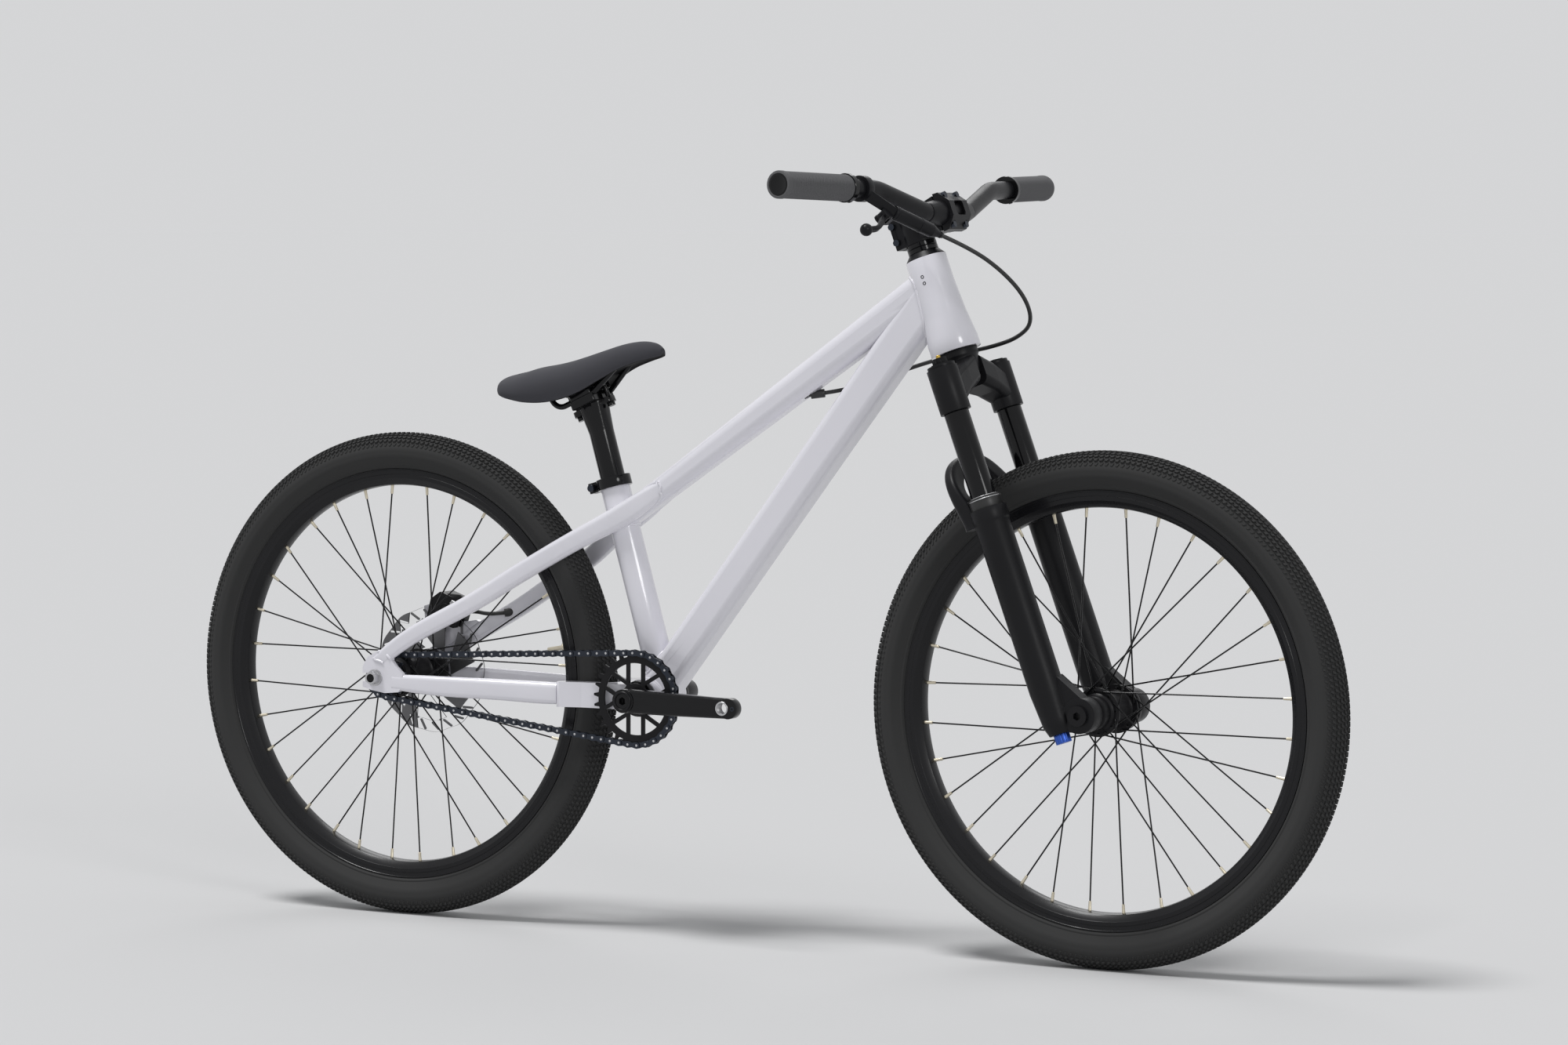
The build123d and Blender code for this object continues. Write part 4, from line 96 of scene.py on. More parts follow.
@dataclass(frozen=True)
class Finish:
    """One finish of the bicycle, made from nodes alone.

    Attributes:
        name: Name of the material.
        colour: Base colour, linear.
        second: Colour that the base drifts towards in soft patches.
        roughness: Middle roughness.
        spread: How far the roughness varies either way.
        metallic: 1 for bare metal, 0 for paint and rubber.
        coat: Weight of a clear coat.
        shine: Strength of the plain reflection, 0.5 for common paint.
        grain: Size of the fine relief in millimetres.
        depth: Strength of the fine relief.
        dust: Share of pale dust low on the bicycle.
        surface: How the relief is laid.
    """

    name: str
    colour: Colour
    second: Colour
    roughness: float
    spread: float = 0.06
    metallic: float = 0.0
    coat: float = 0.0
    shine: float = 0.5
    grain: float = 1.0
    depth: float = 0.05
    dust: float = 0.0
    surface: Surface = Surface.PEEL

    def make(self) -> bpy.types.Material:
        """Build the material, or return the one already built.

        Returns:
            The finished material.
        """
        made = bpy.data.materials.get(self.name)
        if made is not None:
            return made
        made = bpy.data.materials.new(self.name)
        made.use_nodes = True
        tree = made.node_tree
        shader = tree.nodes["Principled BSDF"]
        shader.inputs["Metallic"].default_value = self.metallic
        shader.inputs["Coat Weight"].default_value = self.coat
        shader.inputs["Coat Roughness"].default_value = 0.06
        shader.inputs["Specular IOR Level"].default_value = self.shine
        place = tree.nodes.new("ShaderNodeTexCoord")
        patches = self._noise(tree, place, 14.0, 3.0)
        tint = tree.nodes.new("ShaderNodeMix")
        tint.data_type = "RGBA"
        tint.inputs["A"].default_value = (*self.colour, 1)
        tint.inputs["B"].default_value = (*self.second, 1)
        tree.links.new(patches.outputs["Fac"], tint.inputs["Factor"])
        colour = tint.outputs["Result"]
        if self.dust > 0:
            colour = self._dusted(tree, place, colour)
        tree.links.new(colour, shader.inputs["Base Color"])
        smear = self._noise(tree, place, 45.0, 5.0)
        sheen = tree.nodes.new("ShaderNodeMapRange")
        sheen.inputs["To Min"].default_value = max(0.02, self.roughness - self.spread)
        sheen.inputs["To Max"].default_value = min(1.0, self.roughness + self.spread)
        tree.links.new(smear.outputs["Fac"], sheen.inputs["Value"])
        tree.links.new(sheen.outputs["Result"], shader.inputs["Roughness"])
        bump = tree.nodes.new("ShaderNodeBump")
        bump.inputs["Strength"].default_value = self.depth
        bump.inputs["Distance"].default_value = self.grain * MM
        tree.links.new(self._relief(tree, place), bump.inputs["Height"])
        tree.links.new(bump.outputs["Normal"], shader.inputs["Normal"])
        return made

    def _noise(
        self,
        tree: bpy.types.NodeTree,
        place: bpy.types.Node,
        scale: float,
        detail: float,
        stretch: Sequence[float] = (1.0, 1.0, 1.0),
    ) -> bpy.types.Node:
        """Add a noise texture in object space.

        Args:
            tree: Node tree of the material.
            place: Texture coordinate node.
            scale: Scale of the noise, per metre.
            detail: Octaves of the noise.
            stretch: Scale along each axis.

        Returns:
            The noise node.
        """
        mapping = tree.nodes.new("ShaderNodeMapping")
        mapping.inputs["Scale"].default_value = stretch
        noise = tree.nodes.new("ShaderNodeTexNoise")
        noise.inputs["Scale"].default_value = scale
        noise.inputs["Detail"].default_value = detail
        tree.links.new(place.outputs["Object"], mapping.inputs["Vector"])
        tree.links.new(mapping.outputs["Vector"], noise.inputs["Vector"])
        return noise

    def _relief(self, tree: bpy.types.NodeTree, place: bpy.types.Node) -> bpy.types.NodeSocket:
        """Height of the fine relief.

        Args:
            tree: Node tree of the material.
            place: Texture coordinate node.

        Returns:
            The socket that carries the height.
        """
        rate = 1 / (self.grain * MM)
        if self.surface is Surface.BRUSHED:
            return self._noise(tree, place, rate * 0.1, 2.0, (1.0, 12.0, 1.0)).outputs["Fac"]
        if self.surface is Surface.WEAVE:
            cells = tree.nodes.new("ShaderNodeTexVoronoi")
            cells.inputs["Scale"].default_value = rate
            tree.links.new(place.outputs["Object"], cells.inputs["Vector"])
            return cells.outputs["Distance"]
        detail = {Surface.PEEL: 0.0, Surface.CAST: 4.0, Surface.RUBBER: 2.0}[self.surface]
        return self._noise(tree, place, rate * 0.25, detail).outputs["Fac"]

    def _dusted(
        self, tree: bpy.types.NodeTree, place: bpy.types.Node, colour: bpy.types.NodeSocket
    ) -> bpy.types.NodeSocket:
        """Lay pale dust on what stands low.

        Args:
            tree: Node tree of the material.
            place: Texture coordinate node.
            colour: Clean colour.

        Returns:
            The socket that carries the dusty colour.
        """
        split = tree.nodes.new("ShaderNodeSeparateXYZ")
        height = tree.nodes.new("ShaderNodeMapRange")
        height.inputs["From Min"].default_value = 0.55
        height.inputs["From Max"].default_value = 0.0
        height.inputs["To Max"].default_value = self.dust
        specks = self._noise(tree, place, 120.0, 8.0)
        share = tree.nodes.new("ShaderNodeMath")
        share.operation = "MULTIPLY"
        dirt = tree.nodes.new("ShaderNodeMix")
        dirt.data_type = "RGBA"
        dirt.inputs["B"].default_value = (0.30, 0.26, 0.21, 1)
        tree.links.new(place.outputs["Object"], split.inputs["Vector"])
        tree.links.new(split.outputs["Z"], height.inputs["Value"])
        tree.links.new(height.outputs["Result"], share.inputs[0])
        tree.links.new(specks.outputs["Fac"], share.inputs[1])
        tree.links.new(share.outputs["Value"], dirt.inputs["Factor"])
        tree.links.new(colour, dirt.inputs["A"])
        return dirt.outputs["Result"]


@dataclass(frozen=True)
class Finishes:
    """All the finishes of this bicycle."""

    frame_white: Finish = Finish(
        "frame_gloss_white", (0.79, 0.78, 0.83), (0.75, 0.74, 0.80), 0.22, coat=0.7, grain=2.0, depth=0.02
    )
    satin_black: Finish = Finish(
        "satin_black", (0.006, 0.006, 0.007), (0.010, 0.010, 0.012), 0.36, shine=0.18, grain=0.6, depth=0.05,
        dust=0.03,
    )
    gloss_black: Finish = Finish(
        "gloss_black", (0.003, 0.003, 0.0035), (0.005, 0.005, 0.006), 0.13, coat=0.12, shine=0.22, grain=1.5,
        depth=0.01,
    )
    cast_black: Finish = Finish(
        "cast_satin_black", (0.007, 0.007, 0.008), (0.011, 0.011, 0.0125), 0.38, shine=0.18, grain=0.9,
        depth=0.08, surface=Surface.CAST,
    )
    tyre_rubber: Finish = Finish(
        "tyre_rubber", (0.008, 0.008, 0.008), (0.013, 0.013, 0.0125), 0.60, shine=0.16, grain=0.8, depth=0.15,
        dust=0.06, surface=Surface.RUBBER,
    )
    hose_rubber: Finish = Finish(
        "hose_rubber", (0.006, 0.006, 0.0065), (0.010, 0.010, 0.011), 0.34, shine=0.2, surface=Surface.RUBBER
    )
    grip_rubber: Finish = Finish(
        "grip_rubber", (0.026, 0.026, 0.028), (0.038, 0.038, 0.041), 0.62, shine=0.2, grain=0.5, depth=0.2,
        surface=Surface.RUBBER,
    )
    saddle_cover: Finish = Finish(
        "saddle_cover", (0.013, 0.013, 0.0155), (0.020, 0.0195, 0.022), 0.50, shine=0.22, grain=0.9, depth=0.12,
        surface=Surface.WEAVE,
    )
    steel: Finish = Finish(
        "bright_steel", (0.50, 0.50, 0.51), (0.60, 0.60, 0.61), 0.28, metallic=1.0, grain=0.5, depth=0.05,
        surface=Surface.BRUSHED,
    )
    dark_steel: Finish = Finish(
        "dark_steel", (0.030, 0.035, 0.046), (0.048, 0.054, 0.068), 0.34, metallic=0.9, grain=0.6, depth=0.05,
        surface=Surface.CAST,
    )
    brass: Finish = Finish("nipple_brass", (0.60, 0.56, 0.46), (0.68, 0.65, 0.56), 0.24, metallic=1.0)
    dial_gold: Finish = Finish("dial_gold", (0.52, 0.34, 0.07), (0.60, 0.42, 0.10), 0.28, metallic=1.0)
    knob_blue: Finish = Finish("knob_blue", (0.010, 0.030, 0.30), (0.015, 0.045, 0.36), 0.28, metallic=0.8)
    pad_plate: Finish = Finish("pad_plate", (0.16, 0.12, 0.08), (0.22, 0.18, 0.13), 0.55, metallic=0.6)
    rim_black: Finish = Finish(
        "rim_black", (0.006, 0.006, 0.007), (0.010, 0.010, 0.0115), 0.28, coat=0.1, shine=0.2, grain=0.8,
        depth=0.03,
    )
    disc_steel: Finish = Finish(
        "disc_steel", (0.13, 0.13, 0.135), (0.19, 0.19, 0.195), 0.42, metallic=1.0, grain=0.4, depth=0.06,
        surface=Surface.BRUSHED,
    )
    # Moulded black plastic, and also painted shade in the rear axle's hollow ends.
    moulded_black_and_painted_bore_shade: Finish = Finish(
        "moulded_black_and_painted_bore_shade", (0.006, 0.006, 0.0065), (0.010, 0.010, 0.011), 0.5, shine=0.16, grain=0.5, depth=0.1,
        surface=Surface.CAST,
    )


FINISHES = Finishes()


@dataclass
class Studio:
    """Floor, lights and camera.

    Attributes:
        camera_place: Where the camera stands.
        azimuth: Turn of the camera round the bicycle, in degrees.
        elevation: Height of the camera's view, in degrees.
        roll: Small roll of the camera, in degrees.
        focal_pixels: Focal length in pixels of the photograph's width.
    """

    camera_place: tuple[float, float, float] = (2.955455, -5.259477, 0.880204)
    azimuth: float = 28.868
    elevation: float = 3.498
    roll: float = 0.0887
    focal_pixels: float = 6333.12
    floor_half: float = 300.0
    floor_colour: Colour = (0.58, 0.58, 0.585)
    soft_colour: Colour = (0.96, 0.98, 1.0)
    soft_strength: float = 0.33
    suns: tuple[tuple[str, tuple[float, float, float], float, float], ...] = (
        ("key_light", (-0.30, -0.26, 1.0), 20.0, 2.35),
        ("side_light", (1.0, -0.62, 0.45), 16.0, 0.50),
        ("back_light", (-0.5, 1.0, 0.8), 30.0, 0.40),
    )

    def build(self) -> None:
        """Make the floor, the lights, the world and the camera."""
        self._floor()
        self._world()
        for name, source, angle, strength in self.suns:
            self._sun(name, source, angle, strength)
        self._camera()
        log.info("studio ready")

    def _floor(self) -> None:
        """A plain pale floor on the ground."""
        half = self.floor_half
        mesh = bpy.data.meshes.new("floor")
        corners = [(-half, -half, 0), (half, -half, 0), (half, half, 0), (-half, half, 0)]
        mesh.from_pydata(corners, [], [(0, 1, 2, 3)])
        floor = bpy.data.objects.new("floor", mesh)
        bpy.context.scene.collection.objects.link(floor)
        plain = bpy.data.materials.new("floor_pale")
        plain.use_nodes = True
        shader = plain.node_tree.nodes["Principled BSDF"]
        shader.inputs["Base Color"].default_value = (*self.floor_colour, 1)
        shader.inputs["Roughness"].default_value = 1.0
        shader.inputs["Specular IOR Level"].default_value = 0.0
        mesh.materials.append(plain)

    def _world(self) -> None:
        """A pale surround that the camera and reflections see, and a softer light."""
        world = bpy.data.worlds.new("surround")
        bpy.context.scene.world = world
        world.use_nodes = True
        tree = world.node_tree
        soft = tree.nodes["Background"]
        soft.inputs["Color"].default_value = (*self.soft_colour, 1)
        soft.inputs["Strength"].default_value = self.soft_strength
        bright = tree.nodes.new("ShaderNodeBackground")
        bright.inputs["Color"].default_value = (*self._floor_shade(), 1)
        path = tree.nodes.new("ShaderNodeLightPath")
        seen = tree.nodes.new("ShaderNodeMath")
        seen.operation = "MAXIMUM"
        any_seen = tree.nodes.new("ShaderNodeMath")
        any_seen.operation = "MAXIMUM"
        blend = tree.nodes.new("ShaderNodeMixShader")
        tree.links.new(path.outputs["Is Camera Ray"], seen.inputs[0])
        tree.links.new(path.outputs["Is Glossy Ray"], seen.inputs[1])
        tree.links.new(seen.outputs["Value"], any_seen.inputs[0])
        tree.links.new(path.outputs["Is Transmission Ray"], any_seen.inputs[1])
        tree.links.new(any_seen.outputs["Value"], blend.inputs["Fac"])
        tree.links.new(soft.outputs["Background"], blend.inputs[1])
        tree.links.new(bright.outputs["Background"], blend.inputs[2])
        tree.links.new(blend.outputs["Shader"], tree.nodes["World Output"].inputs["Surface"])

    def _floor_shade(self) -> list[float]:
        """How bright the open floor looks, so that the backdrop carries on from it."""
        direct = sum(
            strength * Vector(source).normalized().z / math.pi for _, source, _, strength in self.suns
        )
        return [
            share * (self.soft_strength * tint + direct)
            for share, tint in zip(self.floor_colour, self.soft_colour)
        ]

    def _sun(self, name: str, source: Sequence[float], angle: float, strength: float) -> None:
        """A wide soft light that reaches the whole floor alike.

        Args:
            name: Name of the light.
            source: Direction that it comes from.
            angle: Width of its disc in degrees.
            strength: Its light on a surface that faces it.
        """
        data = bpy.data.lights.new(name, "SUN")
        data.angle = math.radians(angle)
        data.energy = strength
        lamp = bpy.data.objects.new(name, data)
        bpy.context.scene.collection.objects.link(lamp)
        lamp.rotation_euler = (-Vector(source)).to_track_quat("-Z", "Y").to_euler()

    def _camera(self) -> None:
        """The camera at the photograph's place and angle."""
        data = bpy.data.cameras.new("camera")
        data.sensor_width = 36.0
        data.lens = data.sensor_width * self.focal_pixels / PHOTO_WIDTH
        data.clip_end = 400
        camera = bpy.data.objects.new("camera", data)
        bpy.context.scene.collection.objects.link(camera)
        camera.location = self.camera_place
        turn, tilt = math.radians(self.azimuth), math.radians(self.elevation)
        back = Vector((math.sin(turn) * math.cos(tilt), -math.cos(turn) * math.cos(tilt), math.sin(tilt)))
        aim = (-back).to_track_quat("-Z", "Y").to_matrix()
        roll = Matrix.Rotation(math.radians(self.roll), 3, "Z")
        camera.rotation_euler = (aim @ roll).to_euler()
        bpy.context.scene.camera = camera
        bpy.context.scene.view_settings.view_transform = "Standard"


@dataclass
class CarriedPieces:
    """The rigid pieces whose solids show as they are, with rounded edges and a finish each.

    Attributes:
        edge: Width of the rounding of sharp edges.
        smooth_angle: Edges that turn more than this many degrees are rounded.
    """

    edge: float = 0.5 * MM
    smooth_angle: float = 32.0
    finishes: dict[str, Finish] = field(default_factory=lambda: {
        "head_tube": FINISHES.frame_white,
        "headset_bearings": FINISHES.steel,
        "bottom_bracket_shell": FINISHES.frame_white,
        "bottom_bracket_cups": FINISHES.gloss_black,
        "down_tube": FINISHES.frame_white,
        "seat_tube": FINISHES.frame_white,
        "top_tube": FINISHES.frame_white,
        "drive_chainstay": FINISHES.frame_white,
        "brake_chainstay": FINISHES.frame_white,
        "drive_seatstay": FINISHES.frame_white,
        "brake_seatstay": FINISHES.frame_white,
        "seat_collar": FINISHES.gloss_black,
        "seat_collar_bolt": FINISHES.dark_steel,
        "rear_axle": FINISHES.steel,
        "brake_caliper": FINISHES.satin_black,
        "brake_hose_rear": FINISHES.hose_rubber,
        "hose_grommets": FINISHES.hose_rubber,
        "chain": FINISHES.dark_steel,
        "fork_crown": FINISHES.cast_black,
        "stanchions": FINISHES.gloss_black,
        "fork_top_caps": FINISHES.satin_black,
        "headset_cover": FINISHES.satin_black,
        "stem": FINISHES.satin_black,
        "stem_bolts": FINISHES.dark_steel,
        "stem_faceplate": FINISHES.satin_black,
        "handlebar": FINISHES.satin_black,
        "grips": FINISHES.grip_rubber,
        "grip_collars": FINISHES.satin_black,
        "lever_body": FINISHES.satin_black,
        "brake_hose_front": FINISHES.hose_rubber,
        "compression_dial": FINISHES.satin_black,
        "lever_blade": FINISHES.satin_black,
        "fork_lowers": FINISHES.cast_black,
        "fork_seals": FINISHES.hose_rubber,
        "front_thru_axle": FINISHES.satin_black,
        "rebound_knob": FINISHES.knob_blue,
        "front_tyre": FINISHES.tyre_rubber,
        "front_rim": FINISHES.satin_black,
        "front_spokes": FINISHES.gloss_black,
        "front_nipples": FINISHES.brass,
        "front_valve": FINISHES.brass,
        "front_hub": FINISHES.satin_black,
        "rear_tyre": FINISHES.tyre_rubber,
        "rear_rim": FINISHES.satin_black,
        "rear_spokes": FINISHES.gloss_black,
        "rear_nipples": FINISHES.brass,
        "rear_valve": FINISHES.brass,
        "rear_hub": FINISHES.satin_black,
        "brake_rotor": FINISHES.steel,
        "rotor_bolts": FINISHES.dark_steel,
        "driver_cog": FINISHES.dark_steel,
        "crank_arms": FINISHES.gloss_black,
        "crank_spindle": FINISHES.gloss_black,
        "chainring": FINISHES.satin_black,
        "inner_brake_pad": FINISHES.pad_plate,
        "outer_brake_pad": FINISHES.pad_plate,
        "seatpost": FINISHES.gloss_black,
        "saddle_clamp": FINISHES.gloss_black,
        "saddle_rails": FINISHES.gloss_black,
        "saddle": FINISHES.saddle_cover,
    })

    def build(self) -> None:
        """Dress every carried-over node."""
        for name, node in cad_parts.items():
            self._dress(node, self.finishes[name])
            log.info("dressed %s", name)

    def _dress(self, node: bpy.types.Object, finish: Finish) -> None:
        """Give one node its finish and rounded edges, leaving its mesh as it is.

        Args:
            node: The node's object.
            finish: The finish it shows.
        """
        node.data.materials.clear()
        node.data.materials.append(finish.make())
        join = node.modifiers.new("join", "WELD")
        join.merge_threshold = 0.00001
        soft = node.modifiers.new("round", "BEVEL")
        soft.width = self.edge
        soft.segments = 2
        soft.limit_method = "ANGLE"
        soft.angle_limit = math.radians(self.smooth_angle)
        soft.harden_normals = False


@dataclass
class Draft:
    """A mesh while it is being drawn.

    Attributes:
        points: Corners, in metres.
        faces: Corner numbers of each face.
        kinds: Finish number of each face.
    """

    points: list[Vector] = field(default_factory=list)
    faces: list[tuple[int, ...]] = field(default_factory=list)
    kinds: list[int] = field(default_factory=list)

    def loft(
        self, rings: Sequence[Sequence[Vector]], loop: bool = False, caps: bool = True, kind: int = 0
    ) -> None:
        """Join closed rings of the same count, one after another.

        Args:
            rings: The rings in order.
            loop: Whether the last ring joins the first.
            caps: Whether open ends are closed.
            kind: Finish number of the new faces.
        """
        start = len(self.points)
        count = len(rings[0])
        for ring in rings:
            self.points.extend(ring)
        for row in range(len(rings) if loop else len(rings) - 1):
            near = start + row * count
            far = start + (row + 1) % len(rings) * count
            for corner in range(count):
                beside = (corner + 1) % count
                self._face((near + corner, near + beside, far + beside, far + corner), kind)
        if caps and not loop:
            self._face(tuple(range(start + count - 1, start - 1, -1)), kind)
            last = start + (len(rings) - 1) * count
            self._face(tuple(range(last, last + count)), kind)

    def _face(self, corners: tuple[int, ...], kind: int) -> None:
        """Add one face of a finish number."""
        self.faces.append(corners)
        self.kinds.append(kind)

    def tube(
        self,
        line: Sequence[Vector],
        radius: float | Sequence[float],
        sides: int = 8,
        loop: bool = False,
        kind: int = 0,
    ) -> None:
        """Lay a round tube along a line.

        Args:
            line: Points of its centre line.
            radius: Its radius, or one for each point.
            sides: Corners of its section.
            loop: Whether the line is closed.
            kind: Finish number of its faces.
        """
        radii = [radius] * len(line) if isinstance(radius, float) else radius
        rings = []
        side_way = None
        for index, point in enumerate(line):
            before = line[index - 1] if loop or index else point
            after = line[(index + 1) % len(line)] if loop or index + 1 < len(line) else point
            run = (after - before).normalized()
            if side_way is None:
                side_way = run.orthogonal().normalized()
            side_way = (side_way - run * side_way.dot(run)).normalized()
            up_way = run.cross(side_way)
            rings.append([
                point
                + side_way * (radii[index] * math.cos(math.tau * corner / sides))
                + up_way * (radii[index] * math.sin(math.tau * corner / sides))
                for corner in range(sides)
            ])
        self.loft(rings, loop=loop, kind=kind)

    def turned(
        self,
        foot: Vector,
        way: Vector,
        profile: Sequence[tuple[float, float]],
        sides: int,
        kind: int = 0,
    ) -> None:
        """Turn a profile round a line.

        Args:
            foot: Where the line starts.
            way: Its direction.
            profile: Distance along the line and radius, for each step.
            sides: Corners round the line.
            kind: Finish number of its faces.
        """
        along = way.normalized()
        across = along.orthogonal().normalized()
        over = along.cross(across)
        rings = [
            [
                foot
                + along * step
                + across * (radius * math.cos(math.tau * corner / sides))
                + over * (radius * math.sin(math.tau * corner / sides))
                for corner in range(sides)
            ]
            for step, radius in profile
        ]
        self.loft(rings, kind=kind)

    def block(self, low: Sequence[Vector], high: Sequence[Vector], kind: int = 0) -> None:
        """A block between two four-cornered faces."""
        self.loft([low, high], kind=kind)

    def finish(
        self, name: str, finishes: Sequence[Finish], body: Body, sharp: float = 35.0
    ) -> bpy.types.Object:
        """Turn the draft into a piece that rides on a body.

        Args:
            name: Name of the piece.
            finishes: Its finishes, by finish number.
            body: The body it moves with.
            sharp: Edges that turn more than this many degrees stay sharp.

        Returns:
            The piece.
        """
        mesh = bpy.data.meshes.new(name)
        mesh.from_pydata([tuple(point) for point in self.points], [], self.faces)
        for finish in finishes:
            mesh.materials.append(finish.make())
        mesh.polygons.foreach_set("material_index", self.kinds)
        tidy = bmesh.new()
        tidy.from_mesh(mesh)
        bmesh.ops.recalc_face_normals(tidy, faces=tidy.faces)
        tidy.to_mesh(mesh)
        tidy.free()
        mesh.polygons.foreach_set("use_smooth", [True] * len(mesh.polygons))
        mesh.set_sharp_from_angle(angle=math.radians(sharp))
        piece = bpy.data.objects.new(name, mesh)
        bpy.context.scene.collection.objects.link(piece)
        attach(piece, body.value)
        log.info("made %s, %d faces", name, len(mesh.polygons))
        return piece


def mesh_from_curve(curve: bpy.types.Curve, name: str) -> bpy.types.Mesh:
    """The mesh that a curve shows.

    Args:
        curve: The curve, which is removed.
        name: Name of the mesh.

    Returns:
        The new mesh.
    """
    holder = bpy.data.objects.new(name, curve)
    mesh = bpy.data.meshes.new_from_object(holder)
    bpy.data.objects.remove(holder)
    bpy.data.curves.remove(curve)
    return mesh


@dataclass
class Wheel:
    """A wheel: tyre with block tread, rim, laced spokes and their nipples.

    Attributes:
        name: Which wheel it is.
        body: The body it turns with.
        axle_x: Place of the axle along the bicycle.
        phase: Turn of the wheel at rest, in degrees.
    """

    name: str
    body: Body
    axle_x: float
    phase: float
    radius: float = 305.5 * MM
    half_width: float = 24.5 * MM
    rim_inner: float = 238.5 * MM
    spoke_count: int = 32
    crossings: int = 3
    spoke_radius: float = 1.0 * MM
    flange_y: float = 26.0 * MM
    flange_hole: float = 25.5 * MM
    nipple_offset: float = 3.2 * MM
    tread_rows: int = 270
    tread_lanes: int = 5
    lane_angle: float = 13.2
    tread_depth: float = 2.1 * MM

    def point(self, radius: float, angle: float, height: float) -> Vector:
        """Point at an angle in degrees round the axle and a height towards the drive side."""
        turn = math.radians(angle + self.phase)
        return Vector((self.axle_x + radius * math.cos(turn), -height, self.radius + radius * math.sin(turn)))

    def build(self) -> None:
        """Make every piece of the wheel."""
        self._tyre()
        self._rim()
        self._spokes()

    def _revolve(self, draft: Draft, profile: Sequence[tuple[float, float]], steps: int) -> None:
        """Turn a closed profile of radius and height round the axle."""
        rings = [
            [self.point(radius, 360 * step / steps, height) for radius, height in profile]
            for step in range(steps)
        ]
        draft.loft(rings, loop=True)

    def _across(self, lean: float, reach: float) -> tuple[float, float]:
        """Radius and height of a point of the tyre's round section, lean in degrees from the crown."""
        centre = self.radius - self.half_width
        return centre + reach * math.cos(math.radians(lean)), reach * math.sin(math.radians(lean))

    def _tyre(self) -> None:
        """The tyre: a smooth casing with moulded lines, and rows of small blocks."""
        casing = self.half_width - self.tread_depth
        outer = []
        for lean in range(-112, 113, 8):
            outer.append(self._across(lean, casing + (0.5 * MM if abs(lean) in (80, 104) else 0.0)))
        foot = [(264.5, 16.4), (262.5, 16.6), (260.6, 15.0), (259.0, 12.7), (253.5, 12.5)]
        inner = [(254.0, 9.4), (264.0, 11.5), (275.0, 17.5), (290.0, 17.0), (301.2, 0.0)]
        right = [(radius * MM, height * MM) for radius, height in foot]
        left = [(radius, -height) for radius, height in reversed(right)]
        inside_right = [(radius * MM, height * MM) for radius, height in inner]
        inside_left = [(radius, -height) for radius, height in reversed(inside_right[:-1])]
        draft = Draft()
        self._revolve(draft, left + outer + right + inside_right + inside_left, 240)
        for lane in range(-self.tread_lanes, self.tread_lanes + 1):
            self._tread_lane(draft, lane, casing)
        tyre = draft.finish(f"{self.name}_tyre_tread", [FINISHES.tyre_rubber], self.body, 30)
        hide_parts(f"{self.name}_tyre")

    def _tread_lane(self, draft: Draft, lane: int, casing: float) -> None:
        """One ring of tread blocks.

        Args:
            draft: The tyre's mesh.
            lane: Its number, from the crown to one side.
            casing: Radius of the casing's section.
        """
        middle = lane * self.lane_angle
        shoulder = abs(lane) == self.tread_lanes
        half_lean = self.lane_angle * (0.27 if lane == 0 else 0.35)
        top = casing + self.tread_depth * (0.45 if shoulder else 1.0)
        pitch = 360 / self.tread_rows
        half_turn = pitch * (0.20 if shoulder else 0.28)
        slant = pitch * 0.14 * (1 if lane > 0 else -1)
        for row in range(self.tread_rows):
            turn = pitch * (row + 0.34 * abs(lane) + (0.5 if lane % 2 else 0.0))
            low = []
            high = []
            for lean_way, turn_way in ((-1, -1), (1, -1), (1, 1), (-1, 1)):
                lean = middle + lean_way * half_lean
                at = turn + turn_way * half_turn + lean_way * slant
                radius, height = self._across(lean, casing - 0.2 * MM)
                low.append(self.point(radius, at, height))
                lean = middle + lean_way * half_lean * 0.84
                at = turn + turn_way * half_turn * 0.80 + lean_way * slant
                radius, height = self._across(lean, top)
                high.append(self.point(radius, at, height))
            draft.block(low, high)

    def _rim(self) -> None:
        """The rim: a hollow box with a turned edge."""
        half = [
            (238.5, 0.0), (238.6, 5.5), (239.6, 8.6), (245.8, 14.0), (247.2, 14.6),
            (247.6, 14.95), (252.4, 14.95), (252.8, 14.55), (257.6, 14.55), (258.0, 15.0),
            (259.3, 15.0), (259.5, 14.2), (259.3, 12.9), (252.5, 12.7), (249.0, 4.0), (248.6, 0.0),
        ]
        right = [(radius * MM, height * MM) for radius, height in half]
        left = [(radius, -height) for radius, height in reversed(right[1:-1])]
        draft = Draft()
        self._revolve(draft, right + left, 192)
        rim = draft.finish(f"{self.name}_rim_turned", [FINISHES.rim_black], self.body, 28)
        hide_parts(f"{self.name}_rim")

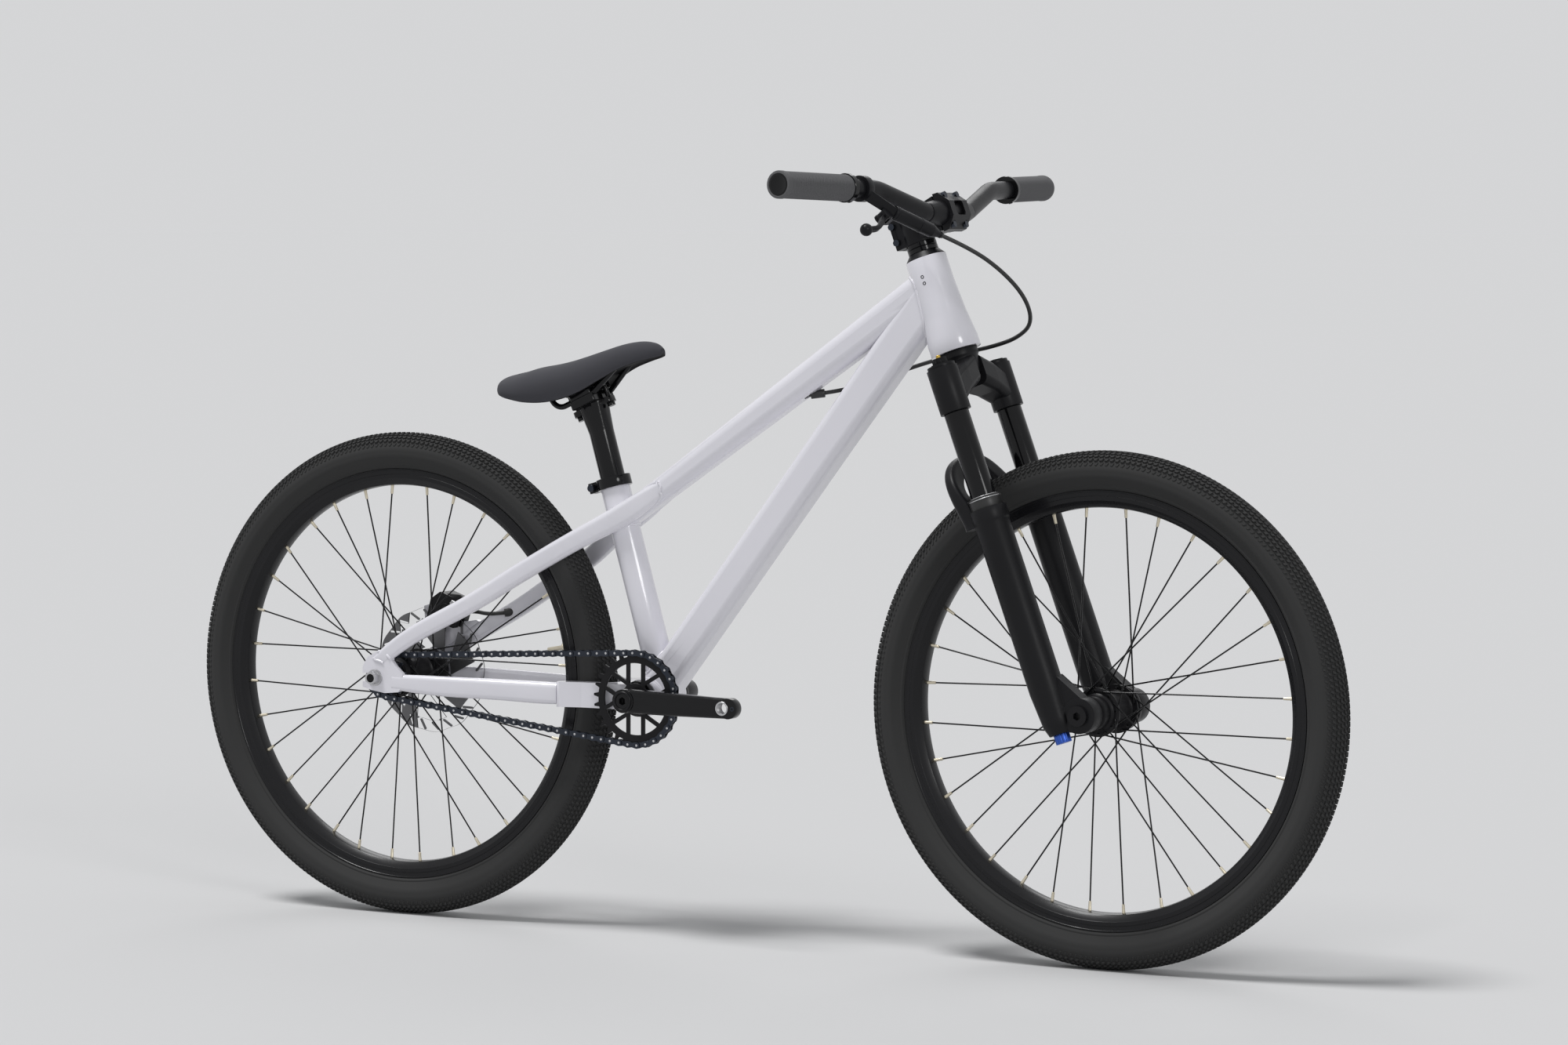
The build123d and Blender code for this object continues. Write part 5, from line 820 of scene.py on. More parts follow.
    def _spokes(self) -> None:
        """The spokes, each with its head and elbow at the flange, and the nipples."""
        wires = Draft()
        nipples = Draft()
        for index in range(self.spoke_count):
            side = 1 if index % 2 == 0 else -1
            way = 1 if (index // 2) % 2 == 0 else -1
            rim_angle = index * 360 / self.spoke_count
            hub_angle = rim_angle + way * self.crossings * 720 / self.spoke_count
            off = 2.55 * MM
            start = self.point(self.flange_hole, hub_angle, side * (self.flange_y + way * off))
            finish = self.point(self.rim_inner + 2 * MM, rim_angle, side * self.nipple_offset)
            run = (finish - start).normalized()
            reach = (finish - start).length
            head = self.point(self.flange_hole, hub_angle, side * (self.flange_y - way * 1.5 * MM))
            inward = (start - head).normalized()
            elbow = [head, start - inward * 1.2 * MM, start + run * 0.9 * MM, start + run * 3 * MM]
            shank = start + run * (reach - 9 * MM)
            wires.tube([*elbow, shank], self.spoke_radius, 8)
            cap = [(0, 1.2 * MM), (0.35 * MM, 1.9 * MM), (0.9 * MM, 1.7 * MM)]
            wires.turned(head - inward * 0.8 * MM, inward, cap, 10)
            steps = [(0, 1.15), (0.4, 1.75), (8.5, 1.95), (9.0, 2.1), (13.2, 2.1)]
            nipples.turned(
                start + run * (reach - 13 * MM), run, [(along * MM, wide * MM) for along, wide in steps], 10
            )
        spokes = wires.finish(f"{self.name}_spoke_wires", [FINISHES.gloss_black], self.body, 50)
        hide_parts(f"{self.name}_spokes")
        caps = nipples.finish(f"{self.name}_nipple_caps", [FINISHES.brass], self.body, 40)
        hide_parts(f"{self.name}_nipples")


@dataclass
class Rotor:
    """The brake disc: a waved band with slanting slots on six arms."""

    wheel: Wheel
    height: float = -55.0 * MM
    thickness: float = 1.8 * MM
    radius: float = 80.0 * MM
    arms: int = 6
    slots: int = 24
    waves: int = 12

    def build(self) -> None:
        """Make the disc."""
        curve = bpy.data.curves.new("brake_rotor_waved", "CURVE")
        curve.dimensions = "2D"
        curve.fill_mode = "BOTH"
        curve.extrude = self.thickness / 2 - 0.15 * MM
        curve.bevel_depth = 0.15 * MM
        curve.bevel_resolution = 0
        for outline in self._outlines():
            spline = curve.splines.new("POLY")
            spline.points.add(len(outline) - 1)
            for place, (across, up) in zip(spline.points, outline):
                place.co = (across, up, 0, 1)
            spline.use_cyclic_u = True
        mesh = mesh_from_curve(curve, "brake_rotor_waved")
        turn = math.radians(self.wheel.phase)
        upright = Matrix(((1, 0, 0, 0), (0, 0, -1, 0), (0, 1, 0, 0), (0, 0, 0, 1)))
        place = Matrix.Translation((self.wheel.axle_x, -self.height, self.wheel.radius))
        mesh.transform(place @ upright @ Matrix.Rotation(turn, 4, "Z"))
        mesh.materials.clear()
        mesh.materials.append(FINISHES.disc_steel.make())
        rotor = bpy.data.objects.new("brake_rotor_waved", mesh)
        bpy.context.scene.collection.objects.link(rotor)
        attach(rotor, Body.REAR_WHEEL.value)
        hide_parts("brake_rotor")
        log.info("made brake_rotor_waved")

    def _outlines(self) -> list[list[tuple[float, float]]]:
        """Outer edge, windows between the arms, slots, bolt holes and centre hole."""
        outer = self._ring(self.radius - 0.9 * MM, 0.9 * MM, 144)
        outlines = [outer, self._ring(14 * MM, 0, 40)]
        for arm in range(self.arms):
            outlines.append(self._window(arm * 360 / self.arms))
            outlines.append(self._hole(22 * MM, arm * 360 / self.arms, 2.15 * MM))
        for slot in range(self.slots):
            inner = 66.6 if slot % 2 else 68.2
            outlines.append(self._slot(slot * 360 / self.slots, inner * MM, 76.6 * MM))
            if slot % 2:
                outlines.append(self._hole(65.2 * MM, slot * 360 / self.slots - 8.0, 1.1 * MM))
        return outlines

    def _ring(self, radius: float, wave: float, count: int) -> list[tuple[float, float]]:
        """A closed ring whose radius waves."""
        ring = []
        for step in range(count):
            turn = math.tau * step / count
            reach = radius + wave * math.cos(self.waves * turn)
            ring.append((reach * math.cos(turn), reach * math.sin(turn)))
        return ring

    def _hole(self, circle: float, angle: float, radius: float) -> list[tuple[float, float]]:
        """A round hole on a circle round the axle."""
        turn = math.radians(angle)
        centre = (circle * math.cos(turn), circle * math.sin(turn))
        steps = [math.tau * step / 16 for step in range(16)]
        return [(centre[0] + radius * math.cos(step), centre[1] + radius * math.sin(step)) for step in steps]

    def _slot(self, angle: float, inner: float, outer: float) -> list[tuple[float, float]]:
        """A long round-ended slot that slants across the band."""
        low, high = math.radians(angle - 3.2), math.radians(angle + 3.2)
        first = Vector((inner * math.cos(low), inner * math.sin(low)))
        last = Vector((outer * math.cos(high), outer * math.sin(high)))
        along = (last - first).normalized() * 1.35 * MM
        over = Vector((-along.y, along.x))
        shape = []
        for end, way in ((last, 1), (first, -1)):
            for step in range(7):
                turn = math.radians(-90 + step * 30)
                shape.append(tuple(end + (along * math.cos(turn) + over * math.sin(turn)) * way))
        return shape

    def _window(self, start: float) -> list[tuple[float, float]]:
        """The opening between two arms, whose outer end runs on ahead of its inner end."""
        shape = []
        for radius, first, last in ((29.5, 14, 46), (65.0, 52, 12)):
            for step in range(13):
                at = start + first + (last - first) * step / 12 + (24 if radius > 40 else 0)
                reach = (radius + (0.9 * math.cos(math.radians(self.waves * at)) if radius > 40 else 0)) * MM
                shape.append((reach * math.cos(math.radians(at)), reach * math.sin(math.radians(at))))
        return shape


@dataclass
class Chain:
    """The roller chain: figure-eight plates, rollers and bright pins, link by link."""

    pitch: float = 12.7 * MM
    links: int = 78
    ring_teeth: int = 28
    cog_teeth: int = 13
    line: float = 48.0 * MM
    bottom_height: float = 293.5 * MM
    axle_height: float = 305.5 * MM
    axle_x: float = -488.0 * MM
    plate_radius: float = 4.15 * MM
    waist: float = 2.9 * MM

    def __post_init__(self) -> None:
        """Work out the sprockets and the two straight runs."""
        self.ring_radius = self.pitch / (2 * math.sin(math.pi / self.ring_teeth))
        self.cog_radius = self.pitch / (2 * math.sin(math.pi / self.cog_teeth))
        low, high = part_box("crank_spindle")
        self.ring_centre = ((low.x + high.x) / 2, self.bottom_height)
        self.cog_centre = (self.axle_x, self.axle_height)
        reach = math.dist(self.ring_centre, self.cog_centre)
        rise = math.atan2(self.bottom_height - self.axle_height, self.ring_centre[0] - self.axle_x)
        lean = math.asin((self.ring_radius - self.cog_radius) / reach)
        self.upper = rise + math.pi / 2 + lean
        self.lower = rise - math.pi / 2 - lean
        self.ring_wrap = (self.upper - self.lower) * self.ring_teeth / math.tau
        self.cog_wrap = (math.tau - self.upper + self.lower) * self.cog_teeth / math.tau
        self.free_run = (self.links - self.ring_wrap - self.cog_wrap) / 2

    def _round(self, centre: tuple[float, float], radius: float, angle: float) -> Vector:
        """Point of the chain's plane round a sprocket."""
        return Vector((centre[0] + radius * math.cos(angle), -self.line, centre[1] + radius * math.sin(angle)))

    def pin(self, index: int) -> Vector:
        """Centre of a pin, counted from the top of the chainring, forwards and down."""
        ring = self.ring_centre, self.ring_radius
        cog = self.cog_centre, self.cog_radius
        if index <= self.ring_wrap:
            return self._round(*ring, self.upper - index * math.tau / self.ring_teeth)
        beyond = index - self.ring_wrap
        if beyond <= self.free_run:
            return self._round(*ring, self.lower).lerp(self._round(*cog, self.lower), beyond / self.free_run)
        beyond -= self.free_run
        if beyond <= self.cog_wrap:
            return self._round(*cog, self.lower - beyond * math.tau / self.cog_teeth)
        beyond -= self.cog_wrap
        return self._round(*cog, self.upper).lerp(self._round(*ring, self.upper), beyond / self.free_run)

    def build(self) -> None:
        """Make all the links as one piece."""
        draft = Draft()
        for index in range(self.links):
            start = self.pin(index)
            finish = self.pin((index + 1) % self.links)
            inner = index % 2 == 1
            for side in (-1, 1):
                gap = (1.75 if inner else 2.77) * MM
                self._plate(draft, start, finish, side * gap, side * (gap + 0.95 * MM))
            across = Vector((0, 1, 0))
            if inner:
                for pin in (start, finish):
                    draft.turned(pin - across * 1.7 * MM, across, [(0, 3.7 * MM), (3.4 * MM, 3.7 * MM)], 14)
            else:
                for pin in (start, finish):
                    steps = [(0, 1.2), (0.25, 1.6), (7.55, 1.6), (7.8, 1.2)]
                    draft.turned(
                        pin - across * 3.9 * MM, across, [(along * MM, wide * MM) for along, wide in steps], 12, 1
                    )
        chain = draft.finish("chain_links", [FINISHES.dark_steel, FINISHES.steel], Body.FRAME, 30)
        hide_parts("chain")

    def _plate(self, draft: Draft, start: Vector, finish: Vector, near: float, far: float) -> None:
        """One figure-eight plate between two pins.

        Args:
            draft: The chain's mesh.
            start: Centre of the first pin.
            finish: Centre of the second pin.
            near: One face's distance from the chain's plane.
            far: The other face's distance.
        """
        along = (finish - start).normalized()
        up = Vector((-along.z, 0, along.x))
        outline = []
        for centre, first in ((finish, -110), (start, 70)):
            for step in range(9):
                turn = math.radians(first + step * 220 / 8)
                outline.append(centre + (along * math.cos(turn) + up * math.sin(turn)) * self.plate_radius)
            middle = (start + finish) / 2
            outline.append(middle + up * (self.waist if centre is finish else -self.waist))
        shift = Vector((0, 1, 0))
        faces = [[point + shift * near for point in outline], [point + shift * far for point in outline]]
        draft.loft(faces)


def blend_rows(rows: Sequence[Sequence[float]], steps: int) -> list[list[float]]:
    """Pass smooth curves through rows of numbers.

    Args:
        rows: The rows in order.
        steps: New rows for each old one.

    Returns:
        The finer rows.
    """
    made = []
    for index in range(len(rows) - 1):
        before, here = rows[max(index - 1, 0)], rows[index]
        there, after = rows[index + 1], rows[min(index + 2, len(rows) - 1)]
        for step in range(steps):
            share = step / steps
            made.append([
                0.5 * (
                    2 * b
                    + (c - a) * share
                    + (2 * a - 5 * b + 4 * c - d) * share**2
                    + (3 * b - a - 3 * c + d) * share**3
                )
                for a, b, c, d in zip(before, here, there, after)
            ])
    made.append(list(rows[-1]))
    return made


@dataclass
class Saddle:
    """The padded saddle: its cover drawn over a soft crown and round under the edge.

    Attributes:
        sections: Place along the bicycle, height of the crown, height of the edge and half width.
    """

    sections: tuple[tuple[float, float, float, float], ...] = (
        (-331.0, 676.0, 669.0, 24.0),
        (-325.0, 684.5, 663.0, 46.0),
        (-311.0, 688.5, 659.5, 61.0),
        (-294.0, 692.3, 656.5, 67.0),
        (-278.0, 697.0, 654.0, 66.0),
        (-258.0, 700.5, 653.8, 58.0),
        (-238.0, 705.0, 657.5, 46.5),
        (-216.0, 711.5, 666.5, 36.0),
        (-192.0, 719.0, 681.0, 28.0),
        (-166.0, 726.5, 695.5, 23.0),
        (-142.0, 730.0, 704.5, 20.0),
        (-124.0, 728.0, 709.5, 14.5),
        (-113.5, 721.5, 712.5, 6.0),
    )
    skirt: tuple[tuple[float, float], ...] = (
        (0.0, 1.0), (0.16, 0.99), (0.30, 0.97), (0.45, 0.93), (0.58, 0.88), (0.71, 0.805), (0.82, 0.72),
        (0.91, 0.61), (0.97, 0.48), (1.0, 0.28), (0.985, 0.12), (0.93, 0.0),
    )

    def build(self) -> None:
        """Make the cover and the dark base under it."""
        draft = Draft()
        rings = []
        for x, top, foot, half in blend_rows(self.sections, 5):
            rings.append(self._ring(x, top, foot, half))
        draft.loft(rings)
        count = len(rings[0])
        right_edge = len(self.skirt) - 1
        left_edge = count - right_edge
        for row in range(len(rings) - 1):
            for corner in range(right_edge, left_edge):
                draft.kinds[row * count + corner] = 1
        finishes = [FINISHES.saddle_cover, FINISHES.moulded_black_and_painted_bore_shade]
        saddle = draft.finish("saddle_cushion", finishes, Body.SEAT, 60)
        smooth = saddle.modifiers.new("smooth", "SUBSURF")
        smooth.levels = 1
        smooth.render_levels = 1
        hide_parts("saddle")

    def _ring(self, x: float, top: float, foot: float, half: float) -> list[Vector]:
        """One cross section of the cushion, closed under the edge.

        Args:
            x: Its place along the bicycle, in millimetres.
            top: Height of the crown.
            foot: Height of the edge.
            half: Half its width.

        Returns:
            The ring of points, in metres.
        """
        height = top - foot
        right = [(wide * half, foot + tall * height) for wide, tall in self.skirt]
        under = [
            (half * 0.88, foot - 0.2), (half * 0.80, foot + 1.2 + 0.05 * height),
            (half * 0.55, foot + 2.4 + 0.08 * height), (half * 0.25, foot + 2.8 + 0.08 * height),
        ]
        outline = right + under
        mirrored = [(-wide, tall) for wide, tall in reversed(outline[1:])]
        return [Vector((x, wide, tall)) * MM for wide, tall in outline + mirrored]


def smooth_curve(name: str, points: Sequence[Sequence[float]], radius: float) -> bpy.types.Curve:
    """A smooth round line with these control points.

    Args:
        name: Name of the curve.
        points: Control points, in millimetres.
        radius: Radius of the line, in metres.

    Returns:
        The curve.
    """
    curve = bpy.data.curves.new(name, "CURVE")
    curve.dimensions = "3D"
    curve.resolution_u = 16
    curve.bevel_depth = radius
    curve.bevel_resolution = 5
    curve.use_fill_caps = True
    spline = curve.splines.new("NURBS")
    spline.points.add(len(points) - 1)
    for place, point in zip(spline.points, points):
        place.co = (*(Vector(point) * MM), 1)
    spline.order_u = 3
    spline.use_endpoint_u = True
    return curve


@dataclass
class Hoses:
    """The two visible lengths of the rear brake's hose.

    Attributes:
        front: Route from the lever's barrel to the grommet in the down tube.
        rear: Route from the grommet in the chainstay to the caliper.
        turn_start: Where the front hose would stop turning with the bar; not used.
        turn_end: Where it would still lie against the frame; not used.
    """

    diameter: float = 5.0 * MM
    turn_start: tuple[float, float, float] = (374.0, -47.0, 812.0)
    turn_end: tuple[float, float, float] = (374.0, -47.0, 722.0)
    front: tuple[tuple[float, float, float], ...] = (
        (317.5, -103.0, 863.0),
        (347.0, -76.0, 846.0),
        (374.0, -47.0, 819.0),
        (389.0, -17.0, 788.0),
        (385.0, 9.0, 758.0),
        (357.0, 26.0, 740.0),
        (318.0, 39.0, 729.0),
        (277.0, 45.0, 721.0),
        (236.0, 44.0, 711.0),
        (196.0, 38.0, 698.0),
        (159.0, 29.0, 684.0),
        (124.0, 15.0, 673.0),
        (90.0, 0.55, 668.3),
    )
    rear: tuple[tuple[float, float, float], ...] = (
        (-360.0, 58.0, 385.0),
        (-380.0, 43.0, 382.0),
        (-400.0, 45.0, 381.0),
        (-418.0, 54.0, 382.5),
        (-437.8, 63.0, 381.0),
    )

    def build(self) -> None:
        """Make both hoses."""
        front, line = self._hose("brake_hose_front", self.front)
        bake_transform(front)
        rear, line = self._hose("brake_hose_rear", self.rear)
        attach(rear, Body.FRAME.value)

    def _hose(
        self, node: str, route: Sequence[Sequence[float]]
    ) -> tuple[bpy.types.Object, list[tuple[float, float, float]]]:
        """Make one hose.

        Args:
            node: Node that it stands for.
            route: Its control points, in millimetres.

        Returns:
            The hose and the points of its middle line.
        """
        name = f"{node}_line"
        mesh = mesh_from_curve(smooth_curve(name, route, self.diameter / 2), name)
        mesh.materials.clear()
        mesh.materials.append(FINISHES.hose_rubber.make())
        hose = bpy.data.objects.new(name, mesh)
        bpy.context.scene.collection.objects.link(hose)
        thread = mesh_from_curve(smooth_curve(f"{node}_middle", route, 0.0), f"{node}_middle")
        line = [tuple(corner.co) for corner in thread.vertices]
        bpy.data.meshes.remove(thread)
        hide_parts(node)
        log.info("made %s", name)
        return hose, line


HEAD_FOOT = Vector((289.2, 0.0, 723.0))
HEAD_TURN = math.radians(69.55)
HEAD_UP = Vector((-math.cos(HEAD_TURN), 0, math.sin(HEAD_TURN)))
HEAD_AHEAD = Vector((math.sin(HEAD_TURN), 0, math.cos(HEAD_TURN)))


def in_head(ahead: float, left: float, down: float) -> Vector:
    """Point in metres, from millimetres ahead of the steering axis, to the left and below the head tube."""
    return (HEAD_FOOT + HEAD_AHEAD * ahead + Vector((0, left, 0)) - HEAD_UP * down) * MM


def in_millimetres(profile: Sequence[tuple[float, float]]) -> list[tuple[float, float]]:
    """The same profile in metres."""
    return [(along * MM, radius * MM) for along, radius in profile]


def ring_profile(reach: float, thickness: float) -> list[tuple[float, float]]:
    """Closed round section of a thin ring, in millimetres along its axis and out from it."""
    steps = [math.tau * step / 8 for step in range(8)]
    return [(thickness * math.sin(step), reach + thickness * math.cos(step)) for step in steps]


@dataclass
class Welds:
    """Beads of weld, laid where the tubes of the frame end on each other.

    Attributes:
        joints: Each tube with the pieces that it ends on, and whether it is hollow.
        radius: Half the width of a bead.
        step: Length of one ripple's half.
        reach: How near an edge lies to a surface that it ends on.
    """

    joints: tuple[tuple[str, tuple[str, ...], bool], ...] = (
        ("top_tube", ("head_tube", "down_tube"), True),
        ("top_tube", ("seat_tube",), True),
        ("down_tube", ("head_tube",), True),
        ("down_tube", ("bottom_bracket_shell",), True),
        ("seat_tube", ("down_tube", "bottom_bracket_shell"), True),
        ("drive_chainstay", ("bottom_bracket_shell",), False),
        ("brake_chainstay", ("bottom_bracket_shell",), False),
        ("drive_seatstay", ("seat_tube", "top_tube"), False),
        ("brake_seatstay", ("seat_tube", "top_tube"), False),
        ("drive_seatstay", ("drive_chainstay",), False),
        ("brake_seatstay", ("brake_chainstay",), False),
    )
    radius: float = 2.1 * MM
    step: float = 1.3 * MM
    reach: float = 0.35 * MM

    def build(self) -> None:
        """Make every bead as one piece."""
        draft = Draft()
        for tube, against, hollow in self.joints:
            for line, closed in self._outlines(tube, against, hollow):
                radii = [self.radius * (1.0 if index % 2 else 0.88) for index in range(len(line))]
                draft.tube(line, radii, 8, loop=closed)
        draft.finish("frame_welds", [FINISHES.frame_white], Body.FRAME, 75)

    def _outlines(
        self, tube: str, against: Sequence[str], hollow: bool
    ) -> list[tuple[list[Vector], bool]]:
        """Lines along which a tube ends on other pieces.

        Args:
            tube: Node of the tube.
            against: Nodes that it ends on.
            hollow: Whether only the longest line is the tube's outside.

        Returns:
            Evenly spaced lines, and whether each is closed.
        """
        shape = bmesh.new()
        shape.from_mesh(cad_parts[tube].data)
        bmesh.ops.remove_doubles(shape, verts=shape.verts, dist=0.01 * MM)
        near = set()
        for name in against:
            other = bmesh.new()
            other.from_mesh(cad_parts[name].data)
            search = BVHTree.FromBMesh(other)
            for corner in shape.verts:
                if search.find_nearest(corner.co, self.reach)[0] is not None:
                    near.add(corner.index)
            other.free()
        beside: dict[int, list[int]] = {}
        for edge in shape.edges:
            first, last = edge.verts
            if first.index not in near or last.index not in near or len(edge.link_faces) != 2:
                continue
            if edge.calc_face_angle(0.0) < math.radians(28):
                continue
            beside.setdefault(first.index, []).append(last.index)
            beside.setdefault(last.index, []).append(first.index)
        places = {corner.index: corner.co.copy() for corner in shape.verts}
        shape.free()
        lines = self._chains(beside, places)
        if hollow:
            lines = lines[:1]
        return [(self._even(line, closed), closed) for line, closed in lines if self._length(line) > 12 * MM]

    def _length(self, line: Sequence[Vector]) -> float:
        """Length of a line through points."""
        return sum((after - before).length for before, after in zip(line, line[1:]))

    def _chains(
        self, beside: dict[int, list[int]], places: dict[int, Vector]
    ) -> list[tuple[list[Vector], bool]]:
        """Put edges in order, longest line first.

        Args:
            beside: Neighbours of each corner along the edges.
            places: Place of each corner.

        Returns:
            Each line and whether it is closed.
        """
        left = set(beside)
        lines = []
        while left:
            ends = sorted(corner for corner in left if len(beside[corner]) == 1)
            here = ends[0] if ends else min(left)
            walk = [here]
            left.discard(here)
            while True:
                onward = [corner for corner in beside[walk[-1]] if corner in left]
                if not onward:
                    break
                walk.append(min(onward, key=lambda corner: (places[corner] - places[walk[-1]]).length))
                left.discard(walk[-1])
            closed = len(walk) > 2 and walk[0] in beside[walk[-1]]
            lines.append(([places[corner] for corner in walk], closed))
        return sorted(lines, key=lambda line: -self._length(line[0]))

    def _even(self, line: Sequence[Vector], closed: bool) -> list[Vector]:
        """Space a line evenly, an even number of steps round.

        Args:
            line: Its points.
            closed: Whether it ends where it starts.

        Returns:
            The new points.
        """
        points = [*line, line[0]] if closed else list(line)
        whole = self._length(points)
        count = max(8, 2 * round(whole / self.step / 2))
        made = []
        walked = 0.0
        index = 0
        for number in range(count if closed else count + 1):
            target = whole * number / count
            while index < len(points) - 2 and walked + (points[index + 1] - points[index]).length < target:
                walked += (points[index + 1] - points[index]).length
                index += 1
            stretch = (points[index + 1] - points[index]).length
            share = (target - walked) / stretch if stretch else 0.0
            made.append(points[index].lerp(points[index + 1], min(1.0, share)))
        return made


@dataclass
class Grips:
    """The two rubber grips: slanting ridges, a round flange and plug outside, a lock ring inside."""

    bend: tuple[float, float, float] = (258.5, 148.0, 914.5)
    end: tuple[float, float, float] = (236.5, 336.0, 919.0)
    inner: float = 212.0
    outer: float = 333.0
    radius: float = 15.6
    bar_radius: float = 11.12
    pitch: float = 3.4
    ridge: float = 1.0
    sides: int = 72
    zones: int = 8

    def build(self) -> None:
        """Make both grips and their rings."""
        rubber = Draft()
        rings = Draft()
        for side in (-1, 1):
            self._sleeve(rubber, side)
            way = self._way(side)
            outside = self._at(self.outer, side)
            flange = [(0, 15.0), (0.6, 15.8), (1.4, 16.1), (7.4, 16.1), (8.6, 15.6), (8.95, 14.6), (8.95, 13.2),
                      (8.0, 12.8), (8.0, 11.2)]
            rubber.turned(outside, way, in_millimetres(flange), 56)
            plug = [(7.2, 12.6), (8.3, 12.6), (8.7, 12.0), (8.8, 10.6), (8.5, 10.0), (8.5, 0.4)]
            rings.turned(outside, way, in_millimetres(plug), 48)
            self._lock_ring(rings, side)
        grips = rubber.finish("grips_ridged", [FINISHES.grip_rubber], Body.STEERING, 40)
        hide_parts("grips")
        locks = rings.finish("grip_lock_rings", [FINISHES.gloss_black], Body.STEERING, 30)
        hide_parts("grip_collars")

    def _way(self, side: int) -> Vector:
        """Direction of the bar's end, outwards."""
        run = Vector(self.end) - Vector(self.bend)
        return Vector((run.x, side * run.y, run.z)).normalized()

    def _at(self, left: float, side: int) -> Vector:
        """Point of the bar's axis at a distance from the middle of the bicycle."""
        way = self._way(side)
        start = Vector((self.bend[0], side * self.bend[1], self.bend[2]))
        return (start + way * ((left - self.bend[1]) / abs(way.y))) * MM

    def _sleeve(self, draft: Draft, side: int) -> None:
        """The ridged rubber between the rings.

        Args:
            draft: The grips' mesh.
            side: 1 for the left grip, -1 for the right one.
        """
        start, finish = self._at(self.inner, side), self._at(self.outer, side)
        way = (finish - start).normalized()
        across = way.orthogonal().normalized()
        over = way.cross(across)
        length = (finish - start).length / MM
        rows = round(length / 0.62)
        rings = []
        for row in range(rows + 1):
            along = length * row / rows
            fade = min(1.0, along / 4.0, (length - along) / 4.0)
            ring = []
            for corner in range(self.sides):
                zone = corner * self.zones / self.sides
                lean = abs(zone % 2 - 1) * 1.6
                wave = abs(((along / self.pitch + lean) % 1.0) * 2 - 1)
                reach = (self.radius - self.ridge * fade * (1 - min(1.0, wave * 1.7))) * MM
                turn = math.tau * corner / self.sides
                ring.append(start + way * along * MM + (across * math.cos(turn) + over * math.sin(turn)) * reach)
            rings.append(ring)
        draft.loft(rings)

    def _lock_ring(self, draft: Draft, side: int) -> None:
        """The clamp ring at the grip's inner end, with its small bolt."""
        way = self._way(side)
        place = self._at(self.inner, side)
        profile = [(0, 15.4), (0, 16.6), (0.5, 17.0), (7.5, 17.0), (8.0, 16.5), (8.0, self.bar_radius)]
        draft.turned(place, -way, in_millimetres(profile), 48)
        down = (Vector((0.35, 0, -1)) - way * Vector((0.35, 0, -1)).dot(way)).normalized()
        bolt = [(0, 2.6), (1.4, 2.6), (1.8, 2.2), (1.8, 1.3), (0.9, 1.2), (0.9, 0.2)]
        draft.turned(place - way * 4 * MM + down * 15.8 * MM, down, in_millimetres(bolt), 16)


